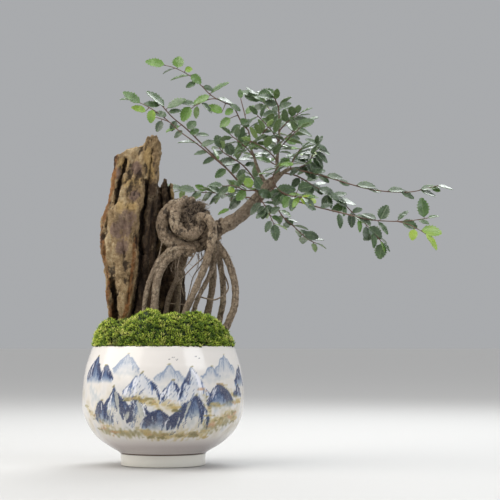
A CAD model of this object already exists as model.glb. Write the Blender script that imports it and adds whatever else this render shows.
import math
import random

import bpy
import numpy as np
from mathutils import Matrix, Vector, noise


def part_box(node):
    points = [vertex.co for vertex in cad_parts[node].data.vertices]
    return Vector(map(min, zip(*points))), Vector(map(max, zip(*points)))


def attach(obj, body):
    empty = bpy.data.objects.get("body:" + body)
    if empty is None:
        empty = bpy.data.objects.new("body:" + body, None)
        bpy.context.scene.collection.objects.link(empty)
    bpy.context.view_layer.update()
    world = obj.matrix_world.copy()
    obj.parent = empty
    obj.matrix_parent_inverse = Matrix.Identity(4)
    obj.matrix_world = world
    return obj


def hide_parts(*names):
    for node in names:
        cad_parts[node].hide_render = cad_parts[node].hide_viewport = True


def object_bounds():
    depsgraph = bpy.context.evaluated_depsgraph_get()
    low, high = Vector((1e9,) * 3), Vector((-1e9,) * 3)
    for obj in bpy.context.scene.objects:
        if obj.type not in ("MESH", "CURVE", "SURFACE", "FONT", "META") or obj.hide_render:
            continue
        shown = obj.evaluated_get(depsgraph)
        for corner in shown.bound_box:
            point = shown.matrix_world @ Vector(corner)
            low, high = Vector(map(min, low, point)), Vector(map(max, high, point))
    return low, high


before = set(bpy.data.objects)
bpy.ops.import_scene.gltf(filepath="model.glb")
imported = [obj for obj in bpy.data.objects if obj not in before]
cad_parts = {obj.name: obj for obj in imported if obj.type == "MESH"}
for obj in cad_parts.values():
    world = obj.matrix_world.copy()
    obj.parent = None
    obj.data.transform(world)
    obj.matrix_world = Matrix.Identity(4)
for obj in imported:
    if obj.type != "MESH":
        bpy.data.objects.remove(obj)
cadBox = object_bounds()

mm = 0.001
potLow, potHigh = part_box("pot")
potX = (potLow[0] + potHigh[0]) / 2
potY = (potLow[1] + potHigh[1]) / 2
potRadius = (potHigh[0] - potLow[0]) / 2
potHeight = potHigh[2] - potLow[2]
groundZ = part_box("trunk")[0][2]


def at(x, y, z):  # millimetres around the bowl's axis, z from the table
    return Vector((potX + x * mm, potY + y * mm, potLow[2] + z * mm))


# ---- small helpers ----

def onlyThis(obj):
    if bpy.context.mode != "OBJECT":
        bpy.ops.object.mode_set(mode="OBJECT")
    bpy.ops.object.select_all(action="DESELECT")
    obj.select_set(True)
    bpy.context.view_layer.objects.active = obj


def applyModifiers(obj):
    onlyThis(obj)
    for mod in list(obj.modifiers):
        bpy.ops.object.modifier_apply(modifier=mod.name)


def pickVerts(obj, chosen):  # leaves edit mode on, with just these vertices selected
    onlyThis(obj)
    mesh = obj.data
    flags = np.zeros(len(mesh.vertices), bool)
    flags[chosen] = True
    mesh.vertices.foreach_set("select", flags)
    mesh.edges.foreach_set("select", np.zeros(len(mesh.edges), bool))
    mesh.polygons.foreach_set("select", np.zeros(len(mesh.polygons), bool))
    bpy.ops.object.mode_set(mode="EDIT")
    bpy.ops.mesh.select_mode(type="VERT")


def moveVerts(obj, chosen, offset):
    pickVerts(obj, chosen)
    bpy.ops.transform.translate(value=offset)
    bpy.ops.object.mode_set(mode="OBJECT")


def sizeVerts(obj, chosen, factors, centre):
    pickVerts(obj, chosen)
    bpy.ops.transform.resize(value=factors, center_override=centre)
    bpy.ops.object.mode_set(mode="OBJECT")


def vertArray(obj):
    co = np.zeros(len(obj.data.vertices) * 3)
    obj.data.vertices.foreach_get("co", co)
    return co.reshape(-1, 3)


def setVerts(obj, co):
    obj.data.vertices.foreach_set("co", np.ascontiguousarray(co).ravel())
    obj.data.update()


def joinAll(objs):
    onlyThis(objs[0])
    for obj in objs:
        obj.select_set(True)
    bpy.ops.object.join()
    return bpy.context.view_layer.objects.active


def finishPiece(obj, name, material, nodes):
    onlyThis(obj)
    bpy.ops.object.transform_apply(location=True, rotation=True, scale=True)
    obj.name = name
    obj.data.name = name
    obj.data.materials.clear()
    obj.data.materials.append(material)
    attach(obj, "root")
    if nodes:
        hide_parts(*nodes)
    return obj


def smoothRoute(points, steps):  # reads points from a smooth curve through the chosen ones
    pts = np.array(points, float)
    pts = np.vstack([pts[0], pts, pts[-1]])
    out = []
    for a, b, c, d in zip(pts, pts[1:], pts[2:], pts[3:]):
        for k in range(steps):
            t = k / steps
            out.append(0.5 * (2 * b + (c - a) * t + (2 * a - 5 * b + 4 * c - d) * t * t
                              + (3 * b - a - 3 * c + d) * t ** 3))
    out.append(pts[-1])
    return out


def tube(name, route, detail):  # route: (place, radius) pairs
    curve = bpy.data.curves.new(name, "CURVE")
    curve.dimensions = "3D"
    curve.bevel_depth = 1.0
    curve.bevel_resolution = detail
    curve.use_fill_caps = True
    spline = curve.splines.new("POLY")
    spline.points.add(len(route) - 1)
    for point, (place, radius) in zip(spline.points, route):
        point.co = (*place, 1.0)
        point.radius = radius
    obj = bpy.data.objects.new(name, curve)
    bpy.context.scene.collection.objects.link(obj)
    onlyThis(obj)
    bpy.ops.object.convert(target="MESH")
    bpy.ops.object.mode_set(mode="EDIT")
    bpy.ops.mesh.select_all(action="SELECT")
    bpy.ops.mesh.remove_doubles(threshold=1e-6)
    bpy.ops.mesh.normals_make_consistent(inside=False)
    bpy.ops.object.mode_set(mode="OBJECT")
    return bpy.context.view_layer.objects.active


def addTexture(name, kind, **values):
    tex = bpy.data.textures.new(name, kind)
    for key, value in values.items():
        setattr(tex, key, value)
    return tex


def displace(obj, tex, strength, size, level=0.5):  # size: the pattern's scale in x, y and z
    guide = bpy.data.objects.new("guide", None)
    bpy.context.scene.collection.objects.link(guide)
    guide.location = at(0, 0, 150)
    guide.scale = size
    bpy.context.view_layer.update()
    mod = obj.modifiers.new("rough", "DISPLACE")
    mod.texture = tex
    mod.texture_coords = "OBJECT"
    mod.texture_coords_object = guide
    mod.strength = strength
    mod.mid_level = level
    applyModifiers(obj)
    bpy.data.objects.remove(guide)


# ---- shader helpers ----

def newMaterial(name):
    mat = bpy.data.materials.new(name)
    mat.use_nodes = True
    return mat, mat.node_tree, mat.node_tree.nodes["Principled BSDF"]


def feed(tree, source, target):
    tree.links.new(source, target)


def calc(tree, operation, a, b=None):
    made = tree.nodes.new("ShaderNodeMath")
    made.operation = operation
    for socket, value in zip(made.inputs, (a, b)):
        if value is None:
            continue
        if isinstance(value, (int, float)):
            socket.default_value = value
        else:
            tree.links.new(value, socket)
    return made.outputs[0]


def ramp(tree, value, stops):  # stops: (place, colour) pairs
    made = tree.nodes.new("ShaderNodeValToRGB")
    band = made.color_ramp
    while len(band.elements) < len(stops):
        band.elements.new(0.5)
    for element, (place, colour) in zip(band.elements, stops):
        element.position = place
        element.color = (*colour, 1.0)
    tree.links.new(value, made.inputs[0])
    return made.outputs[0]


def span(tree, value, low, high, outLow=0.0, outHigh=1.0):
    made = tree.nodes.new("ShaderNodeMapRange")
    made.interpolation_type = "SMOOTHSTEP"
    for socket, number in zip(made.inputs[1:5], (low, high, outLow, outHigh)):
        socket.default_value = number
    tree.links.new(value, made.inputs[0])
    return made.outputs[0]


def mixColour(tree, amount, a, b):
    made = tree.nodes.new("ShaderNodeMix")
    made.data_type = "RGBA"
    for socket, value in ((made.inputs[0], amount), (made.inputs[6], a), (made.inputs[7], b)):
        if isinstance(value, (int, float)):
            socket.default_value = value
        elif isinstance(value, tuple):
            socket.default_value = (*value, 1.0)
        else:
            tree.links.new(value, socket)
    return made.outputs[2]


def objectPlace(tree, scale=(1, 1, 1)):
    coord = tree.nodes.new("ShaderNodeTexCoord")
    mapping = tree.nodes.new("ShaderNodeMapping")
    mapping.inputs["Scale"].default_value = scale
    tree.links.new(coord.outputs["Object"], mapping.inputs["Vector"])
    return mapping.outputs[0]


def noiseAt(tree, place, scale, detail=4.0, rough=0.55, distort=0.0):
    made = tree.nodes.new("ShaderNodeTexNoise")
    made.inputs["Scale"].default_value = scale
    made.inputs["Detail"].default_value = detail
    made.inputs["Roughness"].default_value = rough
    made.inputs["Distortion"].default_value = distort
    tree.links.new(place, made.inputs["Vector"])
    return made.outputs["Fac"]


def cellsAt(tree, place, scale, feature="F1"):
    made = tree.nodes.new("ShaderNodeTexVoronoi")
    made.feature = feature
    made.inputs["Scale"].default_value = scale
    tree.links.new(place, made.inputs["Vector"])
    return made.outputs["Distance"]


def bump(tree, height, strength, distance):
    made = tree.nodes.new("ShaderNodeBump")
    made.inputs["Strength"].default_value = strength
    made.inputs["Distance"].default_value = distance
    tree.links.new(height, made.inputs["Height"])
    return made.outputs[0]


def attribute(tree, name):
    made = tree.nodes.new("ShaderNodeAttribute")
    made.attribute_name = name
    return made.outputs["Fac"]


def storeValues(obj, name, values):  # one number for each vertex
    layer = obj.data.attributes.new(name, "FLOAT", "POINT")
    layer.data.foreach_set("value", np.asarray(values, np.float32))


def makeGroup(name, inputs, outputs):  # name and socket kind of each
    group = bpy.data.node_groups.new(name, "ShaderNodeTree")
    for side, sockets in (("INPUT", inputs), ("OUTPUT", outputs)):
        for label, kind in sockets:
            group.interface.new_socket(label, in_out=side, socket_type="NodeSocket" + kind)
    return group, group.nodes.new("NodeGroupInput").outputs, group.nodes.new("NodeGroupOutput").inputs


def makeSurfaceGrain():  # small-scale roughness that every natural finish here shares
    group, into, out = makeGroup("surfaceGrain", [("Place", "Vector"), ("Scale", "Float")],
                                 [("Fine", "Float"), ("Grit", "Float"), ("Height", "Float")])
    fine = noiseAt(group, into["Place"], 500, 6, 0.7)
    grit = noiseAt(group, into["Place"], 2000, 4, 0.7)
    feed(group, into["Scale"], fine.node.inputs["Scale"])
    feed(group, calc(group, "MULTIPLY", into["Scale"], 3.6), grit.node.inputs["Scale"])
    feed(group, fine, out["Fine"])
    feed(group, grit, out["Grit"])
    feed(group, calc(group, "ADD", fine, calc(group, "MULTIPLY", grit, 0.4)), out["Height"])
    return group


def makeDirtAndWear():  # darkens the hollows and lightens what stands out
    group, into, out = makeGroup("dirtAndWear", [("Colour", "Color"), ("Raised", "Float"), ("Grit", "Float"),
                                                 ("Dirt", "Color"), ("Worn", "Color")], [("Colour", "Color")])
    hollow = span(group, into["Raised"], -1.7, -0.25, 0.82, 0.0)
    worn = calc(group, "MULTIPLY", span(group, into["Raised"], 0.4, 2.1, 0.0, 0.5), span(group, into["Grit"], 0.4, 0.7))
    lighter = mixColour(group, worn, into["Colour"], into["Worn"])
    feed(group, mixColour(group, hollow, lighter, into["Dirt"]), out["Colour"])
    return group


surfaceGrain = makeSurfaceGrain()
dirtAndWear = makeDirtAndWear()


def useGroup(tree, group, **values):
    made = tree.nodes.new("ShaderNodeGroup")
    made.node_tree = group
    for label, value in values.items():
        if isinstance(value, (int, float)):
            made.inputs[label].default_value = value
        elif isinstance(value, tuple):
            made.inputs[label].default_value = (*value, 1.0)
        else:
            tree.links.new(value, made.inputs[label])
    return list(made.outputs)


# ---- stage: camera, light and floor ----

stageLook = {
    "aim": (69.0, 0.0, 171.0),
    "eye": (69.0, -1250.0, 96.0),
    "lens": 112.5,
    "floor": (0.50, 0.495, 0.485),
    "air": (0.90, 0.92, 0.95),
    "airStrength": 0.44,
    "sky": 1.2,
}


def buildStage():
    scene = bpy.context.scene
    bpy.ops.object.camera_add(location=at(*stageLook["eye"]))
    camera = bpy.context.object
    camera.name = "camera"
    toAim = at(*stageLook["aim"]) - at(*stageLook["eye"])
    camera.rotation_euler = toAim.to_track_quat("-Z", "Y").to_euler()
    camera.data.lens = stageLook["lens"]
    camera.data.clip_end = 60
    scene.camera = camera

    bpy.ops.mesh.primitive_plane_add(size=60, location=(0, 0, cadBox[0][2] - 0.0002))
    floor = bpy.context.object
    floor.name = "floor"
    mat, tree, shader = newMaterial("floorPaint")
    shader.inputs["Base Color"].default_value = (*stageLook["floor"], 1)
    shader.inputs["Roughness"].default_value = 0.75
    floor.data.materials.append(mat)

    lights = [  # name, place in mm, size, watts, colour
        ("keyLight", (-900, -330, 980), 1.5, 19, (1.0, 0.97, 0.92)),
        ("backLight", (300, 700, 900), 0.7, 8, (0.95, 0.98, 1.0)),
        ("sideLight", (1150, -800, 900), 0.8, 7.5, (0.93, 0.96, 1.0)),
    ]
    for name, place, size, watts, colour in lights:
        bpy.ops.object.light_add(type="AREA", location=at(*place))
        lamp = bpy.context.object
        lamp.name = name
        lamp.data.size = size
        lamp.data.energy = watts
        lamp.data.color = colour
        toward = at(60, 0, 150) - lamp.location
        lamp.rotation_euler = toward.to_track_quat("-Z", "Y").to_euler()

    bpy.ops.object.light_add(type="SUN", location=at(0, 0, 2000))
    sky = bpy.context.object
    sky.name = "softSky"
    sky.data.energy = stageLook["sky"]
    sky.data.angle = math.radians(70)

    world = bpy.data.worlds.new("air")
    world.use_nodes = True
    back = world.node_tree.nodes["Background"]
    back.inputs["Color"].default_value = (*stageLook["air"], 1)
    back.inputs["Strength"].default_value = stageLook["airStrength"]
    scene.world = world
    scene.view_settings.view_transform = "Standard"


buildStage()
print("stage ready")

bowlLook = {
    "turns": 560,  # steps round
    "wall": 4.0,
    "outside": [  # radius and height, from the rim down to the foot
        (56.6, 92.9), (58.7, 87.0), (60.4, 81.6), (61.7, 77.0), (63.2, 67.5), (64.1, 59.0),
        (64.4, 51.0), (63.9, 44.0), (62.2, 37.8), (58.9, 30.7), (54.1, 24.1), (48.0, 18.7),
        (41.2, 14.2), (36.6, 11.6), (34.6, 10.2), (33.9, 9.2),
    ],
    "foot": 33.7,
    "footRing": 6.0,
    "recess": 3.0,
    "drain": 6.0,
    "floor": 9.5,
    "glaze": (0.74, 0.70, 0.66),
}

# A generic range of brushed peaks: finish, place round the bowl from the front, top, reach
# to the left and right, and the height where the peak fades out, in millimetres
paintedPeaks = [
    ("far", -27, 88, 13, 11, 72), ("far", 8, 80, 12, 13, 65), ("far", 44, 78, 10, 9, 68),
    ("far", 62, 87, 16, 12, 70),
    ("dark", -61, 86, 15, 8, 65), ("dark", -47, 79, 7, 8, 66), ("dark", 85, 78, 14, 8, 62),
    ("mid", -13, 74, 16, 14, 53), ("mid", 11, 68, 11, 9, 50), ("mid", 26, 78, 10, 15, 48),
    ("dark", 50, 65, 12, 17, 47), ("dark", -51, 52, 8, 12, 34), ("dark", 76, 63, 8, 7, 54),
    ("near", -37, 63, 9, 17, 33), ("near", -18, 55, 8, 15, 32), ("dark", 0, 46, 15, 12, 30),
    ("near", 29, 57, 26, 14, 26),
]
banks = [  # sandy ground and mist: ink, left and right end, height at each, width, strength
    ("wash", -66, -50, 63, 50, 8, 0.40), ("wash", -38, -18, 75, 72, 5, 0.22),
    ("wash", 42, 76, 47, 50, 7, 0.30), ("wash", 0, 24, 63, 68, 5, 0.20),
    ("wash", 38, 64, 68, 70, 5, 0.25), ("ochre", -70, -50, 46, 33, 6, 0.35),
    ("ochre", -28, -12, 56, 53, 4, 0.30), ("ochre", -16, 12, 55, 48, 8, 0.55),
    ("ochre", 36, 42, 60, 42, 6, 0.45), ("ochre", 54, 76, 64, 52, 5, 0.42),
    ("ochre", 42, 74, 49, 50, 4, 0.35), ("olive", -56, 2, 30, 26, 7, 0.50),
    ("ochre", -10, 42, 27, 26, 7, 0.55), ("olive", 40, 72, 32, 38, 9, 0.50),
    ("ochre", 38, 70, 37, 41, 7, 0.50),
]
footBanks = 4  # the last ones are laid again over the peaks
summits = {"far": 0.95, "mid": 1.12, "dark": 1.15, "near": 1.05}  # above 1 is blunter
folds = {  # brush strokes on each peak, and their ink, width and strength
    "far": (0, []),
    "mid": (13, [("navy", 2.4, 0.80), ("navy", 1.7, 0.75), ("white", 1.9, 0.80), ("white", 1.4, 0.70), ("blue", 0.8, 0.65)]),
    "dark": (12, [("navy", 3.0, 0.90), ("navy", 2.2, 0.80), ("white", 1.5, 0.45)]),
    "near": (28, [("navy", 3.7, 0.90), ("navy", 2.4, 0.90), ("navy", 3.0, 0.85), ("grey", 3.6, 0.65),
                  ("white", 1.0, 0.85), ("blue", 0.7, 0.60)]),
}


def peakOutline(kind, middle, top, left, right, floor, rng):  # from the left foot over the top to the right
    low = floor + (top - floor) * 0.32
    points = []
    for reach, shares in ((-left, (1.0, 0.8, 0.58, 0.36, 0.17)), (right, (0.0, 0.13, 0.33, 0.56, 0.79, 1.0))):
        for share in shares:
            jag = rng.uniform(-1.3, 1.7) if 0 < share < 1 else 0.0
            points.append((middle + reach * share, top - (top - low) * share ** summits[kind] + jag))
    return points


def bankPath(left, right, low, high):
    shares = (0.0, 0.25, 0.5, 0.75, 1.0)
    return [(left + (right - left) * t, low + (high - low) * t - 1.3 * math.sin(math.pi * 2 * t)) for t in shares]


rangeRandom = random.Random(21)
hills = [(kind, peakOutline(kind, *shape, rangeRandom), shape[-1]) for kind, *shape in paintedPeaks]
washes = [(ink, bankPath(left, right, low, high), width, strength)
          for ink, left, right, low, high, width, strength in banks]


inks = {
    "navy": (0.007, 0.020, 0.082), "blue": (0.065, 0.11, 0.27), "white": (0.80, 0.80, 0.86), "grey": (0.52, 0.52, 0.46),
    "ochre": (0.46, 0.33, 0.11), "olive": (0.20, 0.165, 0.055), "orange": (0.50, 0.25, 0.12), "mist": (0.80, 0.79, 0.82),
    "wash": (0.34, 0.40, 0.46), "haze": (0.19, 0.25, 0.37), "ink": (0.02, 0.02, 0.03), "slate": (0.10, 0.14, 0.24),
    "pale": (0.50, 0.55, 0.64), "moss": (0.12, 0.10, 0.035),
}
hillLooks = {  # body colour and strength, number of brush lines for each mm, their colour, strength, width
    "far": ("haze", 0.34, 0.9, "haze", 0.66, 0.75), "mid": ("pale", 0.62, 0.7, "slate", 0.60, 0.52),
    "dark": ("navy", 0.62, 1.15, "navy", 0.70, 0.90), "near": ("grey", 0.55, 1.1, "navy", 0.62, 0.66),
}


class Painting:  # colour carried by the vertices of the bowl's outside
    def __init__(self, along, tall, colour):
        self.along, self.tall, self.colour = along, tall, colour
        grain = [noise.noise(Vector((math.cos(a / 64) * 26, math.sin(a / 64) * 26, z / 2.6))) for a, z in zip(along, tall)]
        self.grain = np.array(grain)
        self.shift, self.mirror = 0.0, 1.0

    def place(self, point):
        return (point[0] * self.mirror + self.shift, point[1])

    def around(self, middle):  # distance round the bowl from a place, the short way
        turn = math.pi * 128
        return (self.along - middle + turn / 2) % turn - turn / 2

    def lay(self, near, name, cover):  # dark inks sink in like a glaze, pale ones cover
        ink, cover = np.array(inks[name]), cover[:, None]
        if name in ("white", "mist", "grey", "pale"):
            self.colour[near] += (ink - self.colour[near]) * cover
        else:
            self.colour[near] = self.colour[near] ** (1 - cover) * ink ** cover

    def stroke(self, path, width, colour, strength, taper=0.5, ragged=0.55, soft=0.45):
        pts = [self.place(p) for p in path]
        middle = pts[0][0]
        off = self.around(middle)
        xs, zs = [p[0] - middle for p in pts], [p[1] for p in pts]
        near = np.flatnonzero((off > min(xs) - width) & (off < max(xs) + width)
                              & (self.tall > min(zs) - width) & (self.tall < max(zs) + width))
        if not len(near):
            return
        px, pz = off[near], self.tall[near]
        best = np.full(len(near), 1e9)
        for k in range(len(pts) - 1):
            ax, az, bx, bz = xs[k], zs[k], xs[k + 1], zs[k + 1]
            t = np.clip(((px - ax) * (bx - ax) + (pz - az) * (bz - az)) / ((bx - ax) ** 2 + (bz - az) ** 2 + 1e-9), 0, 1)
            share = (k + t) / (len(pts) - 1)
            half = width / 2 * (1 - taper * np.abs(share * 2 - 1) ** 2)
            best = np.minimum(best, np.hypot(px - ax - t * (bx - ax), pz - az - t * (bz - az)) / half)
        cover = np.clip((1.15 - best + self.grain[near] * ragged) / soft, 0, 1) * strength
        self.lay(near, colour, cover)

    def body(self, outline, floor, colour, strength):
        pts = sorted(self.place(p) for p in outline)
        middle = pts[0][0]
        off = self.around(middle)
        xs, zs = [p[0] - middle for p in pts], [p[1] for p in pts]
        ridge = np.interp(off, xs, zs)
        inside = (off > xs[0]) & (off < xs[-1]) & (self.tall < ridge) & (self.tall > floor)
        near = np.flatnonzero(inside)
        fade = np.clip((self.tall[near] - floor) / np.maximum(ridge[near] - floor, 1) * 1.5, 0, 1)
        sides = np.clip(np.minimum(off[near] - xs[0], xs[-1] - off[near]) / 1.2, 0, 1)
        cover = fade * sides * strength * (1 + self.grain[near] * 0.5)
        self.lay(near, colour, np.clip(cover, 0, 1))


def loadedStroke(painting, path, width, ink, strength, rng):  # with dry edges beside the loaded brush
    painting.stroke(path, width, ink, strength)
    for _ in range(3):
        sway = (rng.uniform(-1, 1) * width * 0.5, rng.uniform(-1, 1) * width * 0.5)
        moved = [(s + sway[0], z + sway[1]) for s, z in path]
        painting.stroke(moved, width * rng.uniform(0.16, 0.34), ink, strength * 0.7, 0.8, 0.9)


def brushFolds(painting, kind, pts, floor, rng):  # dark and light strokes down both flanks
    count, brushes = folds[kind]
    crest = pts[pts[:, 1].argmax(), 0]
    for _ in range(count):
        share = rng.uniform(-0.85, 0.85)
        s = crest + share * (crest - pts[0, 0] if share < 0 else pts[-1, 0] - crest)
        z = np.interp(s, pts[:, 0], pts[:, 1]) - rng.uniform(0.3, 1.6)
        drop = (z - floor) * rng.uniform(0.35, 0.8)
        lean = math.copysign(rng.uniform(0.2, 0.8), share)
        ink, width, strength = rng.choice(brushes)
        path = [(s, z), (s + lean * drop * 0.5, z - drop * 0.45), (s + lean * drop * 0.75, z - drop)]
        loadedStroke(painting, path, width * rng.uniform(0.7, 1.2), ink, strength, rng)


def paintHills(painting, rng):
    for kind, outline, floor in hills:
        body, fill, density, line, strength, width = hillLooks[kind]
        painting.body(outline, floor, body, fill)
        if kind == "near":
            painting.body([(s, z - 1.0) for s, z in outline], floor + (max(z for _, z in outline) - floor) * 0.45, "navy", 0.5)
        pts = np.array(outline)
        steps = np.concatenate([[0], np.cumsum(np.linalg.norm(np.diff(pts, axis=0), axis=1))])
        peak = steps[pts[:, 1].argmax()]
        for k in range(int(steps[-1] * density)):
            far = rng.uniform(0.03, 0.97) * steps[-1]
            s, z = np.interp(far, steps, pts[:, 0]), np.interp(far, steps, pts[:, 1])
            side = -1 if far < peak else 1
            drop = (z - floor) * rng.uniform(0.25, 0.85)
            lean = side * rng.uniform(0.15, 0.62)
            mid = (s + lean * drop * 0.55, z - drop * 0.5)
            end = (s + lean * drop * 0.85, z - drop)
            dark = line if rng.random() < 0.72 or kind != "mid" else "blue"
            painting.stroke([(s, z - 0.2), mid, end], width * rng.uniform(0.6, 1.4), dark, strength * rng.uniform(0.45, 1.0), 0.8)
        top, low = outline[int(pts[:, 1].argmax())], outline[0]
        run = math.hypot(top[0] - low[0], top[1] - low[1])
        slope = ((low[0] - top[0]) / run, (low[1] - top[1]) / run)
        for _ in range(34 if kind in ("mid", "near") else 0):  # brush lines that follow the left slope
            s = rng.uniform(low[0] + 1, top[0] + 3)
            z = np.interp(s, pts[:, 0], pts[:, 1]) - rng.uniform(0.6, 0.8 * (top[1] - floor))
            if z < floor + 1:
                continue
            reach = min(rng.uniform(3, 8), (z - floor) * 1.2)
            dark = rng.choice(("slate", "slate", "navy", "blue", "white"))
            bow = rng.uniform(-0.4, 0.8)
            painting.stroke([(s, z), (s + slope[0] * reach * 0.5, z + slope[1] * reach * 0.5 + bow),
                             (s + slope[0] * reach, z + slope[1] * reach)],
                            rng.uniform(0.4, 0.75), dark, rng.uniform(0.35, 0.75), 0.8)
        painting.stroke([(s, z) for s, z in outline], width * 1.5, line, min(strength * 1.25, 0.95), 0.35)
        brushFolds(painting, kind, pts, floor, rng)
        s, z = top
        for _ in range(4):  # scrub on the summit
            off = rng.uniform(-0.7, 0.7)
            painting.stroke([(s + off - 0.8, z + 0.3), (s + off + 0.8, z + rng.uniform(0.3, 1.0))],
                            1.3, "olive", 0.42 if kind != "far" else 0.12, 0.3, 0.9)


def paintBowl(along, tall):
    glaze = np.array(bowlLook["glaze"])
    low = np.clip((24 - tall) / 7, 0, 1)[:, None]
    colour = glaze * (1 - low) + np.array([0.56, 0.50, 0.485]) * low
    painting = Painting(along, tall, colour)
    warm = np.clip((74 - tall) / 30, 0, 1) * np.clip((tall - 20) / 10, 0, 1)
    drift = np.array([noise.noise(Vector((math.cos(a / 64) * 7, math.sin(a / 64) * 7, z / 9))) for a, z in zip(along, tall)])
    for tint, push, start in (((0.52, 0.45, 0.30), 0.75, -0.15), ((0.40, 0.44, 0.48), 0.6, 0.0)):
        tone = np.clip((drift if start < 0 else -drift) - start, 0, 0.45) / 0.45 * push * warm
        colour += (np.array(tint) - colour) * (tone * (0.7 + painting.grain * 0.6))[:, None]
    for shift, mirror, seed in ((0.0, 1.0, 5), (math.pi * 64, -1.05, 8)):
        rng = random.Random(seed)
        painting.shift, painting.mirror = shift, mirror
        for ink, path, width, strength in washes:
            painting.stroke(path, width, ink, strength, 0.2, 1.0, 1.2)
        paintHills(painting, rng)
        for ink, path, width, strength in washes[-footBanks:]:
            painting.stroke(path, width, ink, strength * 0.6, 0.2, 1.0, 1.0)
        for _, path, width, strength in [wash for wash in washes if wash[0] != "wash"]:
            for _ in range(3 + int(abs(path[-1][0] - path[0][0]) / 7)):  # tufts of ground along each bank
                s, z = rng.choice(path)
                s, z = s + rng.uniform(-3.5, 3.5), z + rng.uniform(-0.3, 0.3) * width
                reach = rng.uniform(2.0, 5.0)
                ink = rng.choice(("olive", "olive", "ochre", "ochre", "orange"))
                path2 = [(s - reach, z + rng.uniform(-0.8, 0.8)), (s, z), (s + reach, z + rng.uniform(-0.8, 0.8))]
                loadedStroke(painting, path2, rng.uniform(1.1, 2.8), ink, strength * rng.uniform(0.9, 1.4), rng)
        for _ in range(260):  # scrub and sand along the washes
            _, path, wide, _ = rng.choice([wash for wash in washes if wash[0] != "wash"])
            spot, share = rng.randrange(len(path) - 1), rng.random()
            (sa, za), (sb, zb) = path[spot], path[spot + 1]
            s = sa + (sb - sa) * share + rng.gauss(0, 1.0)
            z = max(za + (zb - za) * share + rng.gauss(0, wide * 0.26), 23.0)
            size = rng.uniform(0.5, 1.5)
            ink = rng.choice(("ochre", "olive", "olive", "moss", "orange"))
            painting.stroke([(s - size, z + rng.uniform(-0.4, 0.4)), (s + size, z + rng.uniform(-0.4, 0.4))],
                            size * rng.uniform(0.7, 1.3), ink, rng.uniform(0.12, 0.5), 0.5, 1.0)
        for _ in range(70):  # light veins left open between the dark brush strokes
            _, outline, _ = rng.choice([hill for hill in hills if hill[0] != "far"])
            s, z = rng.choice(outline)
            z -= rng.uniform(0.6, 3.5)
            drop, lean = rng.uniform(2, 6), rng.uniform(-0.9, 0.9)
            painting.stroke([(s, z), (s + lean * drop * 0.6, z - drop * 0.5), (s + lean * drop, z - drop)],
                            rng.uniform(0.3, 0.6), "white", rng.uniform(0.3, 0.7), 0.8)
        for s, z in ((8, 84), (11.5, 85.2), (14.4, 83.6), (31, 86), (34, 84.6)):  # a few birds
            painting.stroke([(s - 1.2, z + 0.7), (s, z), (s + 1.2, z + 0.8)], 0.45, "ink", 0.55, 0.7, 0.2)
    return painting.colour


def bowlProfile():
    outside = smoothRoute(bowlLook["outside"], 8)
    wall, foot = bowlLook["wall"], bowlLook["foot"]
    inner = []
    for before, point, after in list(zip(outside, outside[1:], outside[2:]))[::8]:
        along = np.array(after) - np.array(before)
        along /= np.linalg.norm(along)
        spot = (point[0] + along[1] * wall, point[1] - along[0] * wall)
        if spot[1] > bowlLook["floor"] + 2:
            inner.append(spot)
    rim = outside[0][0]
    arc = []
    for k in range(7):
        angle = math.pi * (1 - k / 6)
        arc.append((rim - 2 + 2 * math.cos(angle), 92.9 + 1.5 * math.sin(angle)))
    ring = foot - bowlLook["footRing"]
    base = [
        (foot, 8.9), (foot, 8.3), (foot, 4.5), (foot, 0.9), (foot - 0.3, 0.3), (foot - 0.9, 0.0), (ring + 0.9, 0.0),
        (ring + 0.3, 0.3), (ring, 0.9), (ring - 0.2, 2.4), (ring - 0.9, bowlLook["recess"]),
        (bowlLook["drain"] + 0.6, bowlLook["recess"]), (bowlLook["drain"], bowlLook["recess"] + 0.6),
        (bowlLook["drain"], bowlLook["floor"]), (inner[-1][0] * 0.75, bowlLook["floor"]),
    ]
    return arc + [tuple(p) for p in outside[1:]] + base + inner[::-1]


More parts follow.
